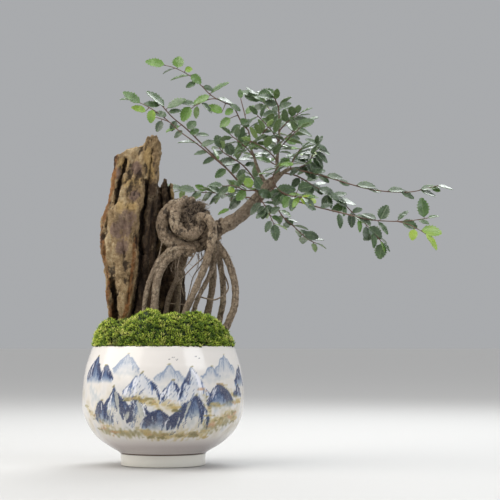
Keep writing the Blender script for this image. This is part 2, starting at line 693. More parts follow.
def buildBowl():
    profile = bowlProfile()
    bpy.ops.mesh.primitive_circle_add(vertices=len(profile), radius=0.05, location=(0, 0, 0))
    bowl = bpy.context.object
    for vert, (radius, height) in zip(bowl.data.vertices, profile):
        vert.co = (radius * mm, 0, height * mm)
    spin = bowl.modifiers.new("turn", "SCREW")
    spin.steps = bowlLook["turns"]
    spin.render_steps = bowlLook["turns"]
    spin.use_merge_vertices = True
    spin.merge_threshold = 1e-5
    applyModifiers(bowl)
    bpy.ops.object.mode_set(mode="EDIT")
    bpy.ops.mesh.select_all(action="SELECT")
    bpy.ops.mesh.remove_doubles(threshold=1e-6)
    bpy.ops.mesh.normals_make_consistent(inside=False)
    bpy.ops.object.mode_set(mode="OBJECT")
    bpy.ops.object.shade_smooth_by_angle(angle=math.radians(50))
    co = vertArray(bowl)
    around = np.arctan2(co[:, 0], -co[:, 1]) * 64.0
    height = co[:, 2] / mm
    colour = paintBowl(around, height)
    wallIn = np.interp(height, [p[1] for p in bowlLook["outside"]][::-1],
                       [p[0] for p in bowlLook["outside"]][::-1]) - bowlLook["wall"] / 2
    outer = np.clip((np.hypot(co[:, 0], co[:, 1]) / mm - wallIn), 0, 1)[:, None]
    cream = np.array([0.80, 0.775, 0.70])
    foot = np.clip((9.6 - height) / 0.5, 0, 1)[:, None]
    colour = colour * (1 - foot) + cream * foot
    colour = colour * outer + cream * (1 - outer)
    layer = bowl.data.attributes.new("paint", "FLOAT_COLOR", "POINT")
    layer.data.foreach_set("color", np.concatenate([colour, np.ones((len(colour), 1))], 1).astype(np.float32).ravel())
    storeValues(bowl, "tall", height)
    co[:, 0] += potX
    co[:, 1] += potY
    co[:, 2] += potLow[2]
    setVerts(bowl, co)
    finishPiece(bowl, "bowl", porcelainPaint(), ["pot"])
    print("bowl faces", len(bowl.data.polygons))


def porcelainPaint():
    mat, tree, shader = newMaterial("paintedPorcelain")
    place = objectPlace(tree)
    paint = tree.nodes.new("ShaderNodeAttribute")
    paint.attribute_name = "paint"
    tall = attribute(tree, "tall")
    fine, grit, height = useGroup(tree, surfaceGrain, Place=place, Scale=900.0)
    clouds = noiseAt(tree, place, 48, 3, 0.55)
    colour = mixColour(tree, span(tree, clouds, 0.4, 0.8, 0.0, 0.16), paint.outputs["Color"], (0.70, 0.66, 0.60))
    colour = mixColour(tree, span(tree, fine, 0.42, 0.7, 0.0, 0.12), colour, (0.75, 0.73, 0.72))
    line = calc(tree, "MULTIPLY", span(tree, tall, 9.2, 9.4), span(tree, tall, 10.2, 10.5, 1.0, 0.0))
    colour = mixColour(tree, calc(tree, "MULTIPLY", line, 0.95), colour, (0.07, 0.035, 0.016))
    feed(tree, colour, shader.inputs["Base Color"])
    feed(tree, span(tree, clouds, 0.3, 0.7, 0.13, 0.21), shader.inputs["Roughness"])
    shader.inputs["IOR"].default_value = 1.5
    shader.inputs["Coat Weight"].default_value = 0.15
    shader.inputs["Coat Roughness"].default_value = 0.06
    feed(tree, bump(tree, noiseAt(tree, place, 60, 2, 0.5), 0.12, 0.0005), shader.inputs["Normal"])
    return mat


buildBowl()
print("bowl turned and painted")

# ---- stones ----

tallStone = {
    "voxel": 0.8,
    "blocks": [  # z, left, right, front, back
        [
            (84, -42.5, -31, -11, 4), (113, -43, -31.5, -11, 5), (118, -43, -29, -11, 5),
            (126, -43.6, -26.6, -11, 5), (132, -46.4, -26, -11, 6), (145, -45, -24, -11, 6),
            (152, -46, -22.8, -11.4, 6), (165, -49.2, -21.4, -12, 6), (172, -50.4, -21.6, -12, 6),
            (180, -51.4, -20.6, -12, 6), (187, -50.8, -19.6, -12, 6), (200, -47.4, -20.6, -11.6, 6),
            (206, -46, -17.6, -11, 6), (218, -43.4, -16.5, -10, 5), (230, -41.8, -15, -9, 4),
            (240, -41, -12, -8, 3), (252, -41, -10, -6.6, 2), (262, -41, -8, -6, 1),
        ],
        [
            (84, -32, -14.6, -3.4, 14), (128, -32, -14.8, -3, 14), (161, -30, -12.8, -2.6, 14),
            (182, -28, -9.8, -2, 13), (201, -28, -8.6, -2, 12), (219, -26, -6.4, -3, 11),
            (228, -25, -5.6, -6, 10), (235, -24, -4.8, -7.4, 9), (250, -24, -3, -6.4, 8), (262, -20, -3, -5, 6),
        ],
        [
            (84, -36, -8, 2, 20), (140, -37, -8, 2, 20), (170, -38, -8, 2, 20), (200, -36, -7, 1, 18),
            (225, -32, -5, 0, 15), (240, -28, -5, -1, 10), (262, -26, -6, -3, 4),
        ],
    ],
    "top": [
        (-52, 243), (-41.4, 245), (-40, 246.6), (-33.5, 248.4), (-30, 250.6), (-25.6, 251.6),
        (-18.9, 254), (-15, 255.8), (-13.6, 259.2), (-12.2, 261.6), (-10.8, 260.4), (-9.4, 263.0), (-7.8, 261.2), (-6.2, 262.6), (-4.8, 259.6), (-3.2, 257.4), (0, 255),
    ],
    "clefts": [  # line of (x, z), width, depth, furthest y it reaches
        ([(-29.9, 243), (-33.1, 232.6), (-35.8, 222), (-38.2, 208)], 1.6, 7.0, 0),
        ([(-38.4, 108), (-38.0, 118), (-38.6, 130), (-40.4, 145)], 1.7, 13.0, 2),
        ([(-13.4, 226), (-14.6, 212), (-17, 202), (-17.6, 190), (-20, 176), (-17, 168)], 1.9, 8.0, 4),
        ([(-18.6, 165), (-19.5, 150), (-21.8, 135), (-24.4, 118)], 1.6, 6.0, 4),
        ([(-26.6, 150), (-27.6, 138), (-28.8, 128)], 0.9, 1.8, 0),
        ([(-22.8, 246), (-25.6, 236), (-27.5, 229)], 1.2, 1.8, 0),
        ([(-44.6, 196), (-46.8, 180), (-45.6, 164)], 1.0, 1.6, 0),
        ([(-9.4, 252), (-10.6, 240), (-12, 228)], 1.3, 3.2, 2),
        ([(-8.6, 214), (-10.4, 196), (-12.4, 176), (-14.4, 152)], 1.4, 3.0, 6),
        ([(-30, 225), (-28.4, 205), (-32.6, 186), (-30.5, 165)], 0.8, 0.8, 0),
    ],
    "rough": [  # kind, size in x, y, z, strength
        ("CLOUDS", (8, 8, 26), 4.2), ("VORONOI", (6, 6, 16), 2.4), ("CLOUDS", (3.0, 3.0, 6.5), 2.4),
        ("CLOUDS", (1.3, 1.3, 2.2), 1.5),
    ],
}
smallStone = {
    "voxel": 0.7,
    "blocks": [[
        (84, -13, 17, 20.5, 37), (120, -13, 16, 20.5, 36), (160, -12.4, 14.4, 20.5, 34.4),
        (190, -12, 12, 19.6, 31.6), (208, -11.6, 9.8, 19.4, 29.4), (222, -11.4, 8.4, 19.6, 27),
        (232, -10.8, 7.6, 20, 26),
    ]],
    "top": [(-13, 214), (-10.5, 220), (-8.4, 219), (-6.4, 224), (-4.6, 222.6), (-2.4, 226.6), (-1.4, 229.8), (-0.2, 231),
            (0.8, 226.8), (2.2, 222.8), (3.4, 225.4), (4.6, 227.6), (5.6, 222.2), (7, 214), (8.6, 207), (20, 203)],
    "clefts": [
        ([(1.8, 224), (3.4, 214), (6.6, 200), (8.0, 180)], 1.0, 3.4, 40),
        ([(-3.6, 222), (-2.8, 205), (-4.4, 185)], 1.0, 2.6, 40),
        ([(-9, 218), (-8.4, 205), (-9.4, 190)], 0.9, 2.0, 40),
    ],
    "rough": [("CLOUDS", (6, 6, 18), 2.6), ("VORONOI", (4, 4, 9), 2.4), ("CLOUDS", (1.8, 1.8, 3.2), 2.0)],
}


def lineAt(points, x):
    return np.interp(x, [p[0] for p in points], [p[1] for p in points])


def stoneBlock(rows, top):
    bpy.ops.mesh.primitive_cube_add(size=1, location=(0, 0, 0))
    block = bpy.context.object
    bpy.ops.object.mode_set(mode="EDIT")
    bpy.ops.mesh.select_all(action="SELECT")
    bpy.ops.mesh.subdivide(number_cuts=31)
    bpy.ops.object.mode_set(mode="OBJECT")
    co = vertArray(block)
    table = np.array(rows, float)
    z = table[0, 0] + (co[:, 2] + 0.5) * (table[-1, 0] - table[0, 0])
    left, right, front, back = (np.interp(z, table[:, 0], table[:, k]) for k in range(1, 5))
    u, v = co[:, 0] * 2, co[:, 1] * 2  # corners are rounded towards a squared oval
    far = np.maximum(np.abs(u), np.abs(v)) + 1e-9
    shrink = far / (np.abs(u) ** 5 + np.abs(v) ** 5 + 1e-12) ** (1 / 5)
    u, v = u * shrink, v * shrink
    x = (left + right) / 2 + u * (right - left) / 2
    y = (front + back) / 2 + v * (back - front) / 2
    start = 200.0
    limit = lineAt(top, x)
    high = table[-1, 0]
    z = np.where(z > start, start + (z - start) * (limit - start) / (high - start), z)
    setVerts(block, np.stack([x, y, z], 1) * mm)
    return block


def pressClefts(co, clefts):  # pushes the front in along each line, deepest in the middle
    depthLeft = np.zeros(len(co))
    for line, width, depth, reach in clefts:
        pts = np.array(line, float)
        near = np.full(len(co), 1e9)
        for a, b in zip(pts, pts[1:]):
            ab = b - a
            t = np.clip(((co[:, 0] - a[0]) * ab[0] + (co[:, 2] - a[1]) * ab[1]) / (ab @ ab), 0, 1)
            gap = np.hypot(co[:, 0] - a[0] - t * ab[0], co[:, 2] - a[1] - t * ab[1])
            near = np.minimum(near, gap)
        wander = np.array([noise.noise(Vector((c[0] / 3, 5, c[2] / 5))) for c in co]) * 0.9
        push = np.exp(-((near + wander * width * 0.5) / width) ** 2) * (co[:, 1] < reach)
        co[:, 1] += push * depth
        depthLeft = np.maximum(depthLeft, push * min(depth / 4, 1))
    return depthLeft


def buildStone(look, name, node, seed):
    blocks = [stoneBlock(rows, look["top"]) for rows in look["blocks"]]
    stone = joinAll(blocks) if len(blocks) > 1 else blocks[0]
    onlyThis(stone)
    remesh = stone.modifiers.new("skin", "REMESH")
    remesh.mode = "VOXEL"
    remesh.voxel_size = look["voxel"] * mm
    applyModifiers(stone)
    co = vertArray(stone) / mm
    cleft = pressClefts(co, look["clefts"])
    setVerts(stone, co * mm + np.array(at(0, 0, 0)))
    storeValues(stone, "cleft", cleft)
    raised = np.zeros(len(co))
    for k, (kind, size, strength) in enumerate(look["rough"]):
        before = vertArray(stone)
        normals = np.zeros(len(before) * 3)
        stone.data.vertex_normals.foreach_get("vector", normals)
        if kind == "CLOUDS":
            tex = addTexture("lumps", kind, noise_scale=1.0, noise_depth=3, noise_type="SOFT_NOISE")
        else:
            tex = addTexture("flakes", kind, noise_scale=1.0, distance_metric="DISTANCE")
        displace(stone, tex, strength * mm, [s * mm for s in size])
        step = ((vertArray(stone) - before) * normals.reshape(-1, 3)).sum(1) / mm
        raised += step * (1.0 if k < 2 else 1.6)
    raised = (raised - raised.mean()) / (raised.std() + 1e-9)
    storeValues(stone, "raised", raised)
    co = (vertArray(stone) - np.array(at(0, 0, 0))) / mm
    return stone, co


def gauss(co, spots):  # spots: x, z, reach x, reach z
    out = np.zeros(len(co))
    for x, z, rx, rz in spots:
        out = np.maximum(out, np.exp(-((co[:, 0] - x) / rx) ** 2 - ((co[:, 2] - z) / rz) ** 2))
    return out


def stonePaint():
    mat, tree, shader = newMaterial("weatheredStone")
    place = objectPlace(tree)
    tallPlace = objectPlace(tree, (1, 1, 0.4))
    broad = noiseAt(tree, tallPlace, 55, 5, 0.6, 0.6)
    ragged = noiseAt(tree, tallPlace, 130, 5, 0.65, 0.8)
    fine, grit, height = useGroup(tree, surfaceGrain, Place=place, Scale=380.0)
    raised, cleft = attribute(tree, "raised"), attribute(tree, "cleft")
    mixed = calc(tree, "ADD", calc(tree, "MULTIPLY", fine, 0.6), calc(tree, "MULTIPLY", broad, 0.5))
    tan = ramp(tree, mixed, [(0.34, (0.085, 0.050, 0.024)), (0.47, (0.20, 0.130, 0.064)),
                             (0.58, (0.34, 0.235, 0.120)), (0.70, (0.55, 0.43, 0.26))])
    plum = ramp(tree, mixed, [(0.36, (0.075, 0.044, 0.032)), (0.66, (0.25, 0.165, 0.120))])
    ochre = ramp(tree, mixed, [(0.38, (0.22, 0.135, 0.050)), (0.68, (0.50, 0.35, 0.155))])
    rust = ramp(tree, mixed, [(0.38, (0.065, 0.026, 0.009)), (0.68, (0.29, 0.125, 0.035))])
    dim = ramp(tree, mixed, [(0.38, (0.014, 0.009, 0.006)), (0.68, (0.105, 0.062, 0.032))])

    def where(name, low, high):
        torn = calc(tree, "ADD", attribute(tree, name), calc(tree, "MULTIPLY", calc(tree, "SUBTRACT", fine, 0.5), 1.1))
        torn = calc(tree, "ADD", torn, calc(tree, "MULTIPLY", calc(tree, "SUBTRACT", ragged, 0.5), 1.5))
        return span(tree, torn, low, high)
    colour = mixColour(tree, where("plum", 0.35, 0.65), tan, plum)
    colour = mixColour(tree, where("ochre", 0.35, 0.7), colour, ochre)
    colour = mixColour(tree, where("rust", 0.4, 0.75), colour, rust)
    colour = mixColour(tree, where("dim", 0.4, 0.7), colour, dim)
    colour = useGroup(tree, dirtAndWear, Colour=colour, Raised=raised, Grit=grit,
                      Dirt=(0.022, 0.013, 0.009), Worn=(0.50, 0.38, 0.22))[0]
    colour = mixColour(tree, span(tree, cleft, 0.2, 0.9, 0.0, 0.80), colour, (0.022, 0.013, 0.009))
    specks = span(tree, cellsAt(tree, place, 520), 0.05, 0.2, 0.5, 0.0)
    colour = mixColour(tree, calc(tree, "MULTIPLY", specks, span(tree, broad, 0.42, 0.6)), colour, (0.035, 0.022, 0.015))
    feed(tree, colour, shader.inputs["Base Color"])
    feed(tree, span(tree, fine, 0.3, 0.7, 0.92, 0.62), shader.inputs["Roughness"])
    shader.inputs["Specular IOR Level"].default_value = 0.35
    feed(tree, bump(tree, height, 1.0, 0.0016), shader.inputs["Normal"])
    return mat


def buildStones():
    paint = stonePaint()
    stone, co = buildStone(tallStone, "tallStone", "rock_tall", 1)
    storeValues(stone, "plum", gauss(co, [(-22, 236, 5, 6), (-23, 214, 5, 5), (-29, 193, 8, 11), (-38, 186, 5, 9),
                                          (-33, 172, 6, 7), (-37, 232, 3, 6)]) * (co[:, 1] < 0))
    storeValues(stone, "ochre", gauss(co, [(-27, 225, 9, 4), (-25, 205, 6, 3.6), (-12, 244, 4, 12), (-10, 232, 4, 6),
                                           (-35, 205, 4, 6), (-33, 240, 5, 5)]))
    edgeLeft = np.interp(co[:, 2], [r[0] for r in tallStone["blocks"][0]], [r[1] for r in tallStone["blocks"][0]])
    edgeRight = np.interp(co[:, 2], [r[0] for r in tallStone["blocks"][0]], [r[2] for r in tallStone["blocks"][0]])
    rust = np.exp(-((co[:, 0] - edgeLeft - 2) / 3.4) ** 2) * 0.75
    rust = np.maximum(rust, np.exp(-((co[:, 0] - edgeRight + 1.5) / 2.4) ** 2) * (co[:, 2] < 182) * 0.8)
    storeValues(stone, "rust", np.maximum(rust, gauss(co, [(-30, 108, 7, 12)])))
    right = np.clip((co[:, 0] - edgeRight - 0.6) / 2.0, 0, 1) * (co[:, 2] < 229)
    storeValues(stone, "dim", np.where(co[:, 2] > 222, right * (229 - co[:, 2]) / 7, right))
    finishPiece(stone, "tallStone", paint, ["rock_tall"])
    bpy.ops.object.shade_smooth_by_angle(angle=math.radians(40))

    stone, co = buildStone(smallStone, "smallStone", "rock_small", 2)
    storeValues(stone, "plum", gauss(co, [(0, 205, 5, 12), (3, 170, 5, 14)]) * 0.8)
    storeValues(stone, "ochre", gauss(co, [(8.6, 206, 2.2, 10), (6.6, 219, 2, 6), (-2, 221, 2, 5)]))
    storeValues(stone, "rust", gauss(co, [(-3, 190, 4, 9)]))
    storeValues(stone, "dim", 0.75 - gauss(co, [(8.6, 208, 2.6, 14), (5.6, 221, 2, 6)]))
    finishPiece(stone, "smallStone", paint, ["rock_small"])
    bpy.ops.object.shade_smooth_by_angle(angle=math.radians(40))


buildStones()
print("stones weathered")

# ---- wood: coil, trunk and bared roots ----

woodRoutes = {  # x, y, z, radius
    "outerCoil": [
        (25, 4, 205, 4.8), (19, 3, 207, 5.4), (11, 1, 207.5, 5.6), (3.5, 0, 202.5, 5.5), (-0.6, -1, 195, 5.3),
        (-0.6, -1, 186, 5.3), (4, -1, 178.6, 5.3), (12, 0, 175.0, 5.2), (21.5, 1, 174.2, 5.2),
        (31, 3, 176.2, 5.4), (38.5, 4, 183, 5.6),
    ],
    "innerCoil": [
        (17, -4, 208.4, 3.9), (12, -5.4, 205, 4.4), (9.2, -7, 199, 4.8), (9.8, -8, 191.6, 4.9), (14, -8.4, 185.4, 4.9),
        (21.2, -8.4, 182.9, 4.9), (27.8, -7.6, 186.0, 4.7), (31.8, -5, 191.4, 4.4), (32.5, 0, 199, 4.2),
    ],
    "backCoil": [
        (12, 7, 203, 5.2), (21, 9.5, 204, 5.4), (30, 9, 198, 5.4), (33, 8, 188, 5.4), (27, 7, 180, 5.2),
        (15, 6.5, 180, 5.0), (8, 5, 188, 5.0),
    ],
    "trunk": [
        (30, 4, 182, 5.8), (37, 4, 185.5, 6.2), (43.5, 3.4, 188.8, 6.3), (51, 2.6, 192.0, 6.0),
        (58.5, 1.6, 196.6, 5.6), (66, 0.8, 202.8, 5.3), (73.6, 0.2, 211, 4.9), (80, 0, 218.6, 4.6),
        (85.4, 0, 224.8, 4.0), (90, 0, 229.4, 3.0), (91.6, 0.6, 234, 1.9),
    ],
    "leader": [
        (90, 0, 228, 2.2), (91.4, 0.6, 234, 1.8), (90.8, 1, 242, 1.4), (91.6, 2, 252, 1.2), (92.4, 2, 263, 1.1),
        (92.4, 2, 272, 0.9),
    ],
    "riser": [
        (84, 0, 222, 2.2), (79.4, -1.4, 228, 1.6), (75.4, -2.6, 236, 1.3), (72.2, -3, 246, 1.1),
        (69.6, -4, 253, 1.0), (68.8, -4, 260, 0.9),
    ],
    "rightArm": [(89, 0, 227, 2.2), (95.6, -0.6, 233.4, 1.7), (101.4, -2, 236, 1.4), (108.4, -3, 236.9, 1.1)],
    "leftOuterRoot": [
        (26, -5, 171, 2.6), (16, -6, 172.2, 2.5), (8, -7, 171.4, 2.2), (0, -8, 166, 2.1), (-6.2, -9, 157.4, 2.0),
        (-10.6, -10, 146.4, 2.0), (-13.6, -11, 134, 2.0), (-15, -12, 120, 2.2), (-16, -12, 104, 2.4), (-17, -12, 84, 2.6),
    ],
    "leftInnerRoot": [
        (22, -3, 169, 3.4), (11, -5, 167.4, 3.2), (2.8, -7, 162, 3.1), (-2.6, -9, 153, 3.0), (-5.4, -11, 142, 3.0),
        (-6.4, -13, 128, 3.1), (-7, -14, 112, 3.3), (-8, -15, 84, 3.6),
    ],
    "middleRoot": [
        (18, 4, 172, 2.6), (15, 6, 158, 2.2), (9.6, 8, 147, 2.1), (5, 9, 137, 2.1), (2, 10, 126, 2.2), (0, 11, 108, 2.4),
        (-1, 11, 84, 2.6),
    ],
    "archedRoot": [
        (26.5, -7, 193, 3.0), (29.4, -10.6, 196.7, 3.2), (34.6, -12.0, 196.0, 3.5), (38.8, -12, 189.6, 3.7),
        (39.2, -11.4, 181.6, 3.7), (37.4, -11, 171.6, 3.4), (34.8, -11, 162.0, 3.1), (31, -11, 152, 2.9),
        (27.0, -11.6, 142.4, 2.8), (22.9, -12.4, 133, 2.8), (18.4, -13.4, 122.4, 2.9), (15, -14.4, 108, 3.0),
        (12, -15, 84, 3.4),
    ],
    "centreRoot": [
        (40, -3, 178, 2.6), (42, -3.4, 166, 2.2), (37.6, -4, 152.4, 2.0), (31.8, -5, 140.6, 2.0), (26.6, -6, 129.6, 2.0),
        (23.8, -7, 118, 2.0), (22, -7.6, 102, 2.2), (21, -8, 84, 2.4),
    ],
    "rightOuterRoot": [
        (37.2, 0.6, 180.2, 4.2), (43.4, -1.8, 173.4, 3.6), (49.4, -3, 166, 3.1), (53.4, -3.6, 157, 2.9),
        (56.4, -4, 146.4, 2.9), (57.6, -4.4, 134.6, 2.9), (56, -4.8, 123.6, 3.0), (52, -5, 113.6, 3.0),
        (46.6, -5, 102, 3.1), (41, -5, 84, 3.2),
    ],
    "rightInnerRoot": [
        (40, 4, 179, 3.2), (43.8, 4.6, 167, 2.7), (46, 5.4, 154, 2.5), (47.4, 6, 142, 2.5), (47.4, 6.6, 130, 2.5),
        (45.0, 7, 118, 2.6), (42, 7, 104, 2.7), (38, 7, 84, 3.0),
    ],
    "backLeftRoot": [
        (20, 7, 178, 3.4), (15, 10.6, 165, 3.0), (11.6, 13, 148, 2.8), (10, 14.6, 128, 2.8), (9, 15, 108, 3.0),
        (8, 15, 84, 3.2),
    ],
    "backRightRoot": [
        (33, 7, 180, 3.6), (38, 12, 165, 3.1), (39, 17, 148, 2.9), (36, 20, 128, 2.9), (32, 21, 108, 3.1), (30, 21, 84, 3.3),
    ],
}
woodLook = {
    "voxel": 0.62,
    "knob": (22.6, -1.0, 198.0),
    "knobReach": (10.6, 9.4, 12.4),
    "burls": [  # x, y, z, radius: cut stubs and swellings
        (22, -3, 210.4, 3.2), (28, -3, 206.5, 3.0), (16, -3, 211, 2.6), (33.6, -1, 200, 3.4), (25, -8, 196, 3.0),
        (21, -8, 190.4, 3.2), (24.6, 7, 207, 3.4), (40.6, 2, 182, 5.0), (37.6, -3, 176, 4.6), (46, 1, 194.4, 2.8),
        (67.2, -4, 206.2, 1.5), (86.6, -1.0, 223.2, 3.4), (30, 5, 207, 3.0), (17, 2, 212, 3.0),
    ],
}
rootlets = [  # x, y, z and radius
    [(47.4, 5, 152, 1.0), (50.6, 1, 146, 0.7), (51.6, -3, 140, 0.65), (48.6, -6, 135, 0.65), (41.6, -8, 131, 0.65),
     (35.5, -9, 131.6, 0.65), (29, -8.6, 133, 0.6), (25, -8, 131, 0.5)],
    [(36, -9, 168, 0.8), (28, -9, 161, 0.6), (19.6, -8, 153, 0.5), (12, -4, 145, 0.6), (7, 6, 141.6, 0.6)],
    [(-1, -4, 178, 0.7), (-2.4, -6, 172, 0.5), (-3.6, -7, 166, 0.4), (-7.4, -8, 160, 0.3)],
    [(14, -6, 172, 0.6), (11.9, -7, 161, 0.5), (10.8, -6, 152, 0.45), (14.4, -5, 142, 0.4), (16.2, -5, 134, 0.3)],
    [(26, -6, 170, 0.6), (22, -8, 162.5, 0.5), (16.2, -8, 155.5, 0.4), (12, -6, 150, 0.35)],
    [(3, -5, 128.4, 0.3), (9.8, -6, 127.6, 0.35), (18.3, -8, 127.2, 0.35), (22, -9, 128, 0.3)],
    [(44, 0, 172, 0.8), (46.6, -5, 163, 0.5), (44.8, -7, 152, 0.4), (46, -8, 146, 0.3)],
    [(12, -4, 168, 0.6), (9, -3, 156, 0.45), (9.6, -2, 146, 0.4), (6, -2, 138, 0.3)],
    [(43, -3, 178, 0.8), (49.6, -4.6, 170.4, 0.6), (54, -6, 161, 0.45), (55, -7.6, 153, 0.3)],
    [(35.6, -5, 172, 0.7), (31, -6, 160, 0.5), (24, -5, 150, 0.45), (21, -4, 139, 0.4), (18, -3, 128, 0.35)],
]


def barkPaint():
    mat, tree, shader = newMaterial("rootBark")
    place = objectPlace(tree)
    broad = noiseAt(tree, place, 70, 4, 0.6, 0.4)
    fine, grit, height = useGroup(tree, surfaceGrain, Place=place, Scale=520.0)
    raised, knob = attribute(tree, "raised"), attribute(tree, "knob")
    mixed = calc(tree, "ADD", calc(tree, "MULTIPLY", fine, 0.65), calc(tree, "MULTIPLY", broad, 0.45))
    bark = ramp(tree, mixed, [(0.32, (0.045, 0.029, 0.018)), (0.44, (0.15, 0.105, 0.068)),
                              (0.58, (0.27, 0.200, 0.132)), (0.76, (0.52, 0.43, 0.31))])
    pale = ramp(tree, mixed, [(0.32, (0.085, 0.058, 0.040)), (0.52, (0.19, 0.142, 0.100)), (0.78, (0.38, 0.305, 0.22))])
    colour = mixColour(tree, attribute(tree, "smoothBark"), bark, pale)
    cells = cellsAt(tree, objectPlace(tree, (1, 1, 0.7)), 230, "DISTANCE_TO_EDGE")
    cracked = span(tree, calc(tree, "ADD", cells, calc(tree, "MULTIPLY", fine, 0.22)), 0.10, 0.19, 0.72, 0.0)
    cracked = calc(tree, "MULTIPLY", cracked, span(tree, broad, 0.38, 0.6))
    colour = mixColour(tree, cracked, colour, (0.035, 0.023, 0.016))
    colour = useGroup(tree, dirtAndWear, Colour=colour, Raised=raised, Grit=grit,
                      Dirt=(0.030, 0.020, 0.014), Worn=(0.46, 0.37, 0.27))[0]
    torn = span(tree, calc(tree, "ADD", knob, calc(tree, "MULTIPLY", calc(tree, "SUBTRACT", fine, 0.5), 0.9)), 0.35, 0.75, 0.0, 0.97)
    colour = mixColour(tree, torn, colour, ramp(tree, mixed, [(0.42, (0.008, 0.005, 0.004)), (0.72, (0.085, 0.060, 0.042))]))
    feed(tree, colour, shader.inputs["Base Color"])
    feed(tree, span(tree, fine, 0.3, 0.7, 0.9, 0.62), shader.inputs["Roughness"])
    shader.inputs["Specular IOR Level"].default_value = 0.35
    rough = calc(tree, "SUBTRACT", height, calc(tree, "MULTIPLY", cracked, 0.6))
    feed(tree, bump(tree, rough, 0.85, 0.0008), shader.inputs["Normal"])
    return mat


def route3d(points, steps):
    return [(at(*p[:3]), p[3] * mm) for p in smoothRoute(points, steps)]


def buildWood(paint):
    parts = []
    for name, points in woodRoutes.items():
        rng = random.Random(name)
        route = route3d(points, 5)
        swell = rng.uniform(0, 9)
        route = [(p, r * (1 + 0.10 * noise.noise(Vector((k * 0.33, swell, 1))))) for k, (p, r) in enumerate(route)]
        parts.append(tube(name, route, 3))
    bpy.ops.mesh.primitive_ico_sphere_add(subdivisions=4, radius=1, location=(0, 0, 0))
    knob = bpy.context.object
    co = vertArray(knob)
    bumps = np.array([noise.noise(Vector(c) * 2.1) * 0.22 + noise.noise(Vector(c) * 5.2) * 0.10 for c in co])
    middle = np.array(at(*woodLook["knob"]))
    setVerts(knob, co * (1 + bumps)[:, None] * np.array(woodLook["knobReach"]) * mm + middle)
    parts.append(knob)
    for x, y, z, radius in woodLook["burls"]:
        bpy.ops.mesh.primitive_ico_sphere_add(subdivisions=3, radius=radius * mm, location=at(x, y, z))
        burl = bpy.context.object
        onlyThis(burl)
        bpy.ops.object.transform_apply(location=True, rotation=True, scale=True)
        parts.append(burl)
    wood = joinAll(parts)
    remesh = wood.modifiers.new("skin", "REMESH")
    remesh.mode = "VOXEL"
    remesh.voxel_size = woodLook["voxel"] * mm
    applyModifiers(wood)
    onlyThis(wood)
    bpy.ops.object.mode_set(mode="EDIT")
    bpy.ops.mesh.select_all(action="SELECT")
    bpy.ops.mesh.bisect(plane_co=(0, 0, groundZ), plane_no=(0, 0, -1), clear_outer=True, use_fill=True)
    bpy.ops.object.mode_set(mode="OBJECT")

    def drawn():
        return (vertArray(wood) - np.array(at(0, 0, 0))) / mm
    co = drawn()
    near = np.sqrt((((co - np.array(woodLook["knob"])) / np.array(woodLook["knobReach"])) ** 2).sum(1))
    inKnob = np.clip(1.62 - near, 0, 1) * np.clip((co[:, 2] - 185.5) / 3, 0, 1)
    ring = np.sqrt((co[:, 0] - 20.5) ** 2 + (co[:, 2] - 192.5) ** 2)
    inKnob = inKnob * np.clip(1.6 - ((ring - 9.6) / 3.4) * (co[:, 2] < 201), 0, 1)
    coil = np.sqrt((co[:, 0] - 20) ** 2 + (co[:, 2] - 192) ** 2) < 30
    raised = np.zeros(len(co))
    layers = [("lumps", "CLOUDS", (6, 6, 7), 2.2, coil * 0.8 + 0.2), ("ridges", "CLOUDS", (2.0, 2.0, 6), 1.25, coil * 0.3 + 0.7),
              ("warts", "CLOUDS", (1.4, 1.4, 1.8), 0.8, 1.0), ("torn", "CLOUDS", (2.4, 2.4, 2.4), 4.0, np.clip(inKnob * 1.6, 0, 1))]
    for name, kind, size, strength, weight in layers:
        before = vertArray(wood)
        normals = np.zeros(len(before) * 3)
        wood.data.vertex_normals.foreach_get("vector", normals)
        displace(wood, addTexture(name, kind, noise_scale=1.0, noise_depth=3), strength * mm, [s * mm for s in size])
        after = vertArray(wood)
        step = ((after - before) * normals.reshape(-1, 3)).sum(1) / mm
        kept = before + (after - before) * np.broadcast_to(np.asarray(weight, float), len(before))[:, None]
        setVerts(wood, kept)
        raised += step * np.broadcast_to(np.asarray(weight, float), len(before))
    raised = (raised - raised.mean()) / (raised.std() + 1e-9)
    co = drawn()
    storeValues(wood, "raised", raised)
    storeValues(wood, "knob", inKnob)
    smooth = np.clip((co[:, 0] - 44) / 14, 0, 1) * (co[:, 2] > 180)
    smooth = np.maximum(smooth, np.clip((168 - co[:, 2]) / 20, 0, 0.55))
    storeValues(wood, "smoothBark", smooth)
    finishPiece(wood, "trunkAndRoots", paint, ["trunk"])
    bpy.ops.object.shade_smooth()
    print("wood faces", len(wood.data.polygons))


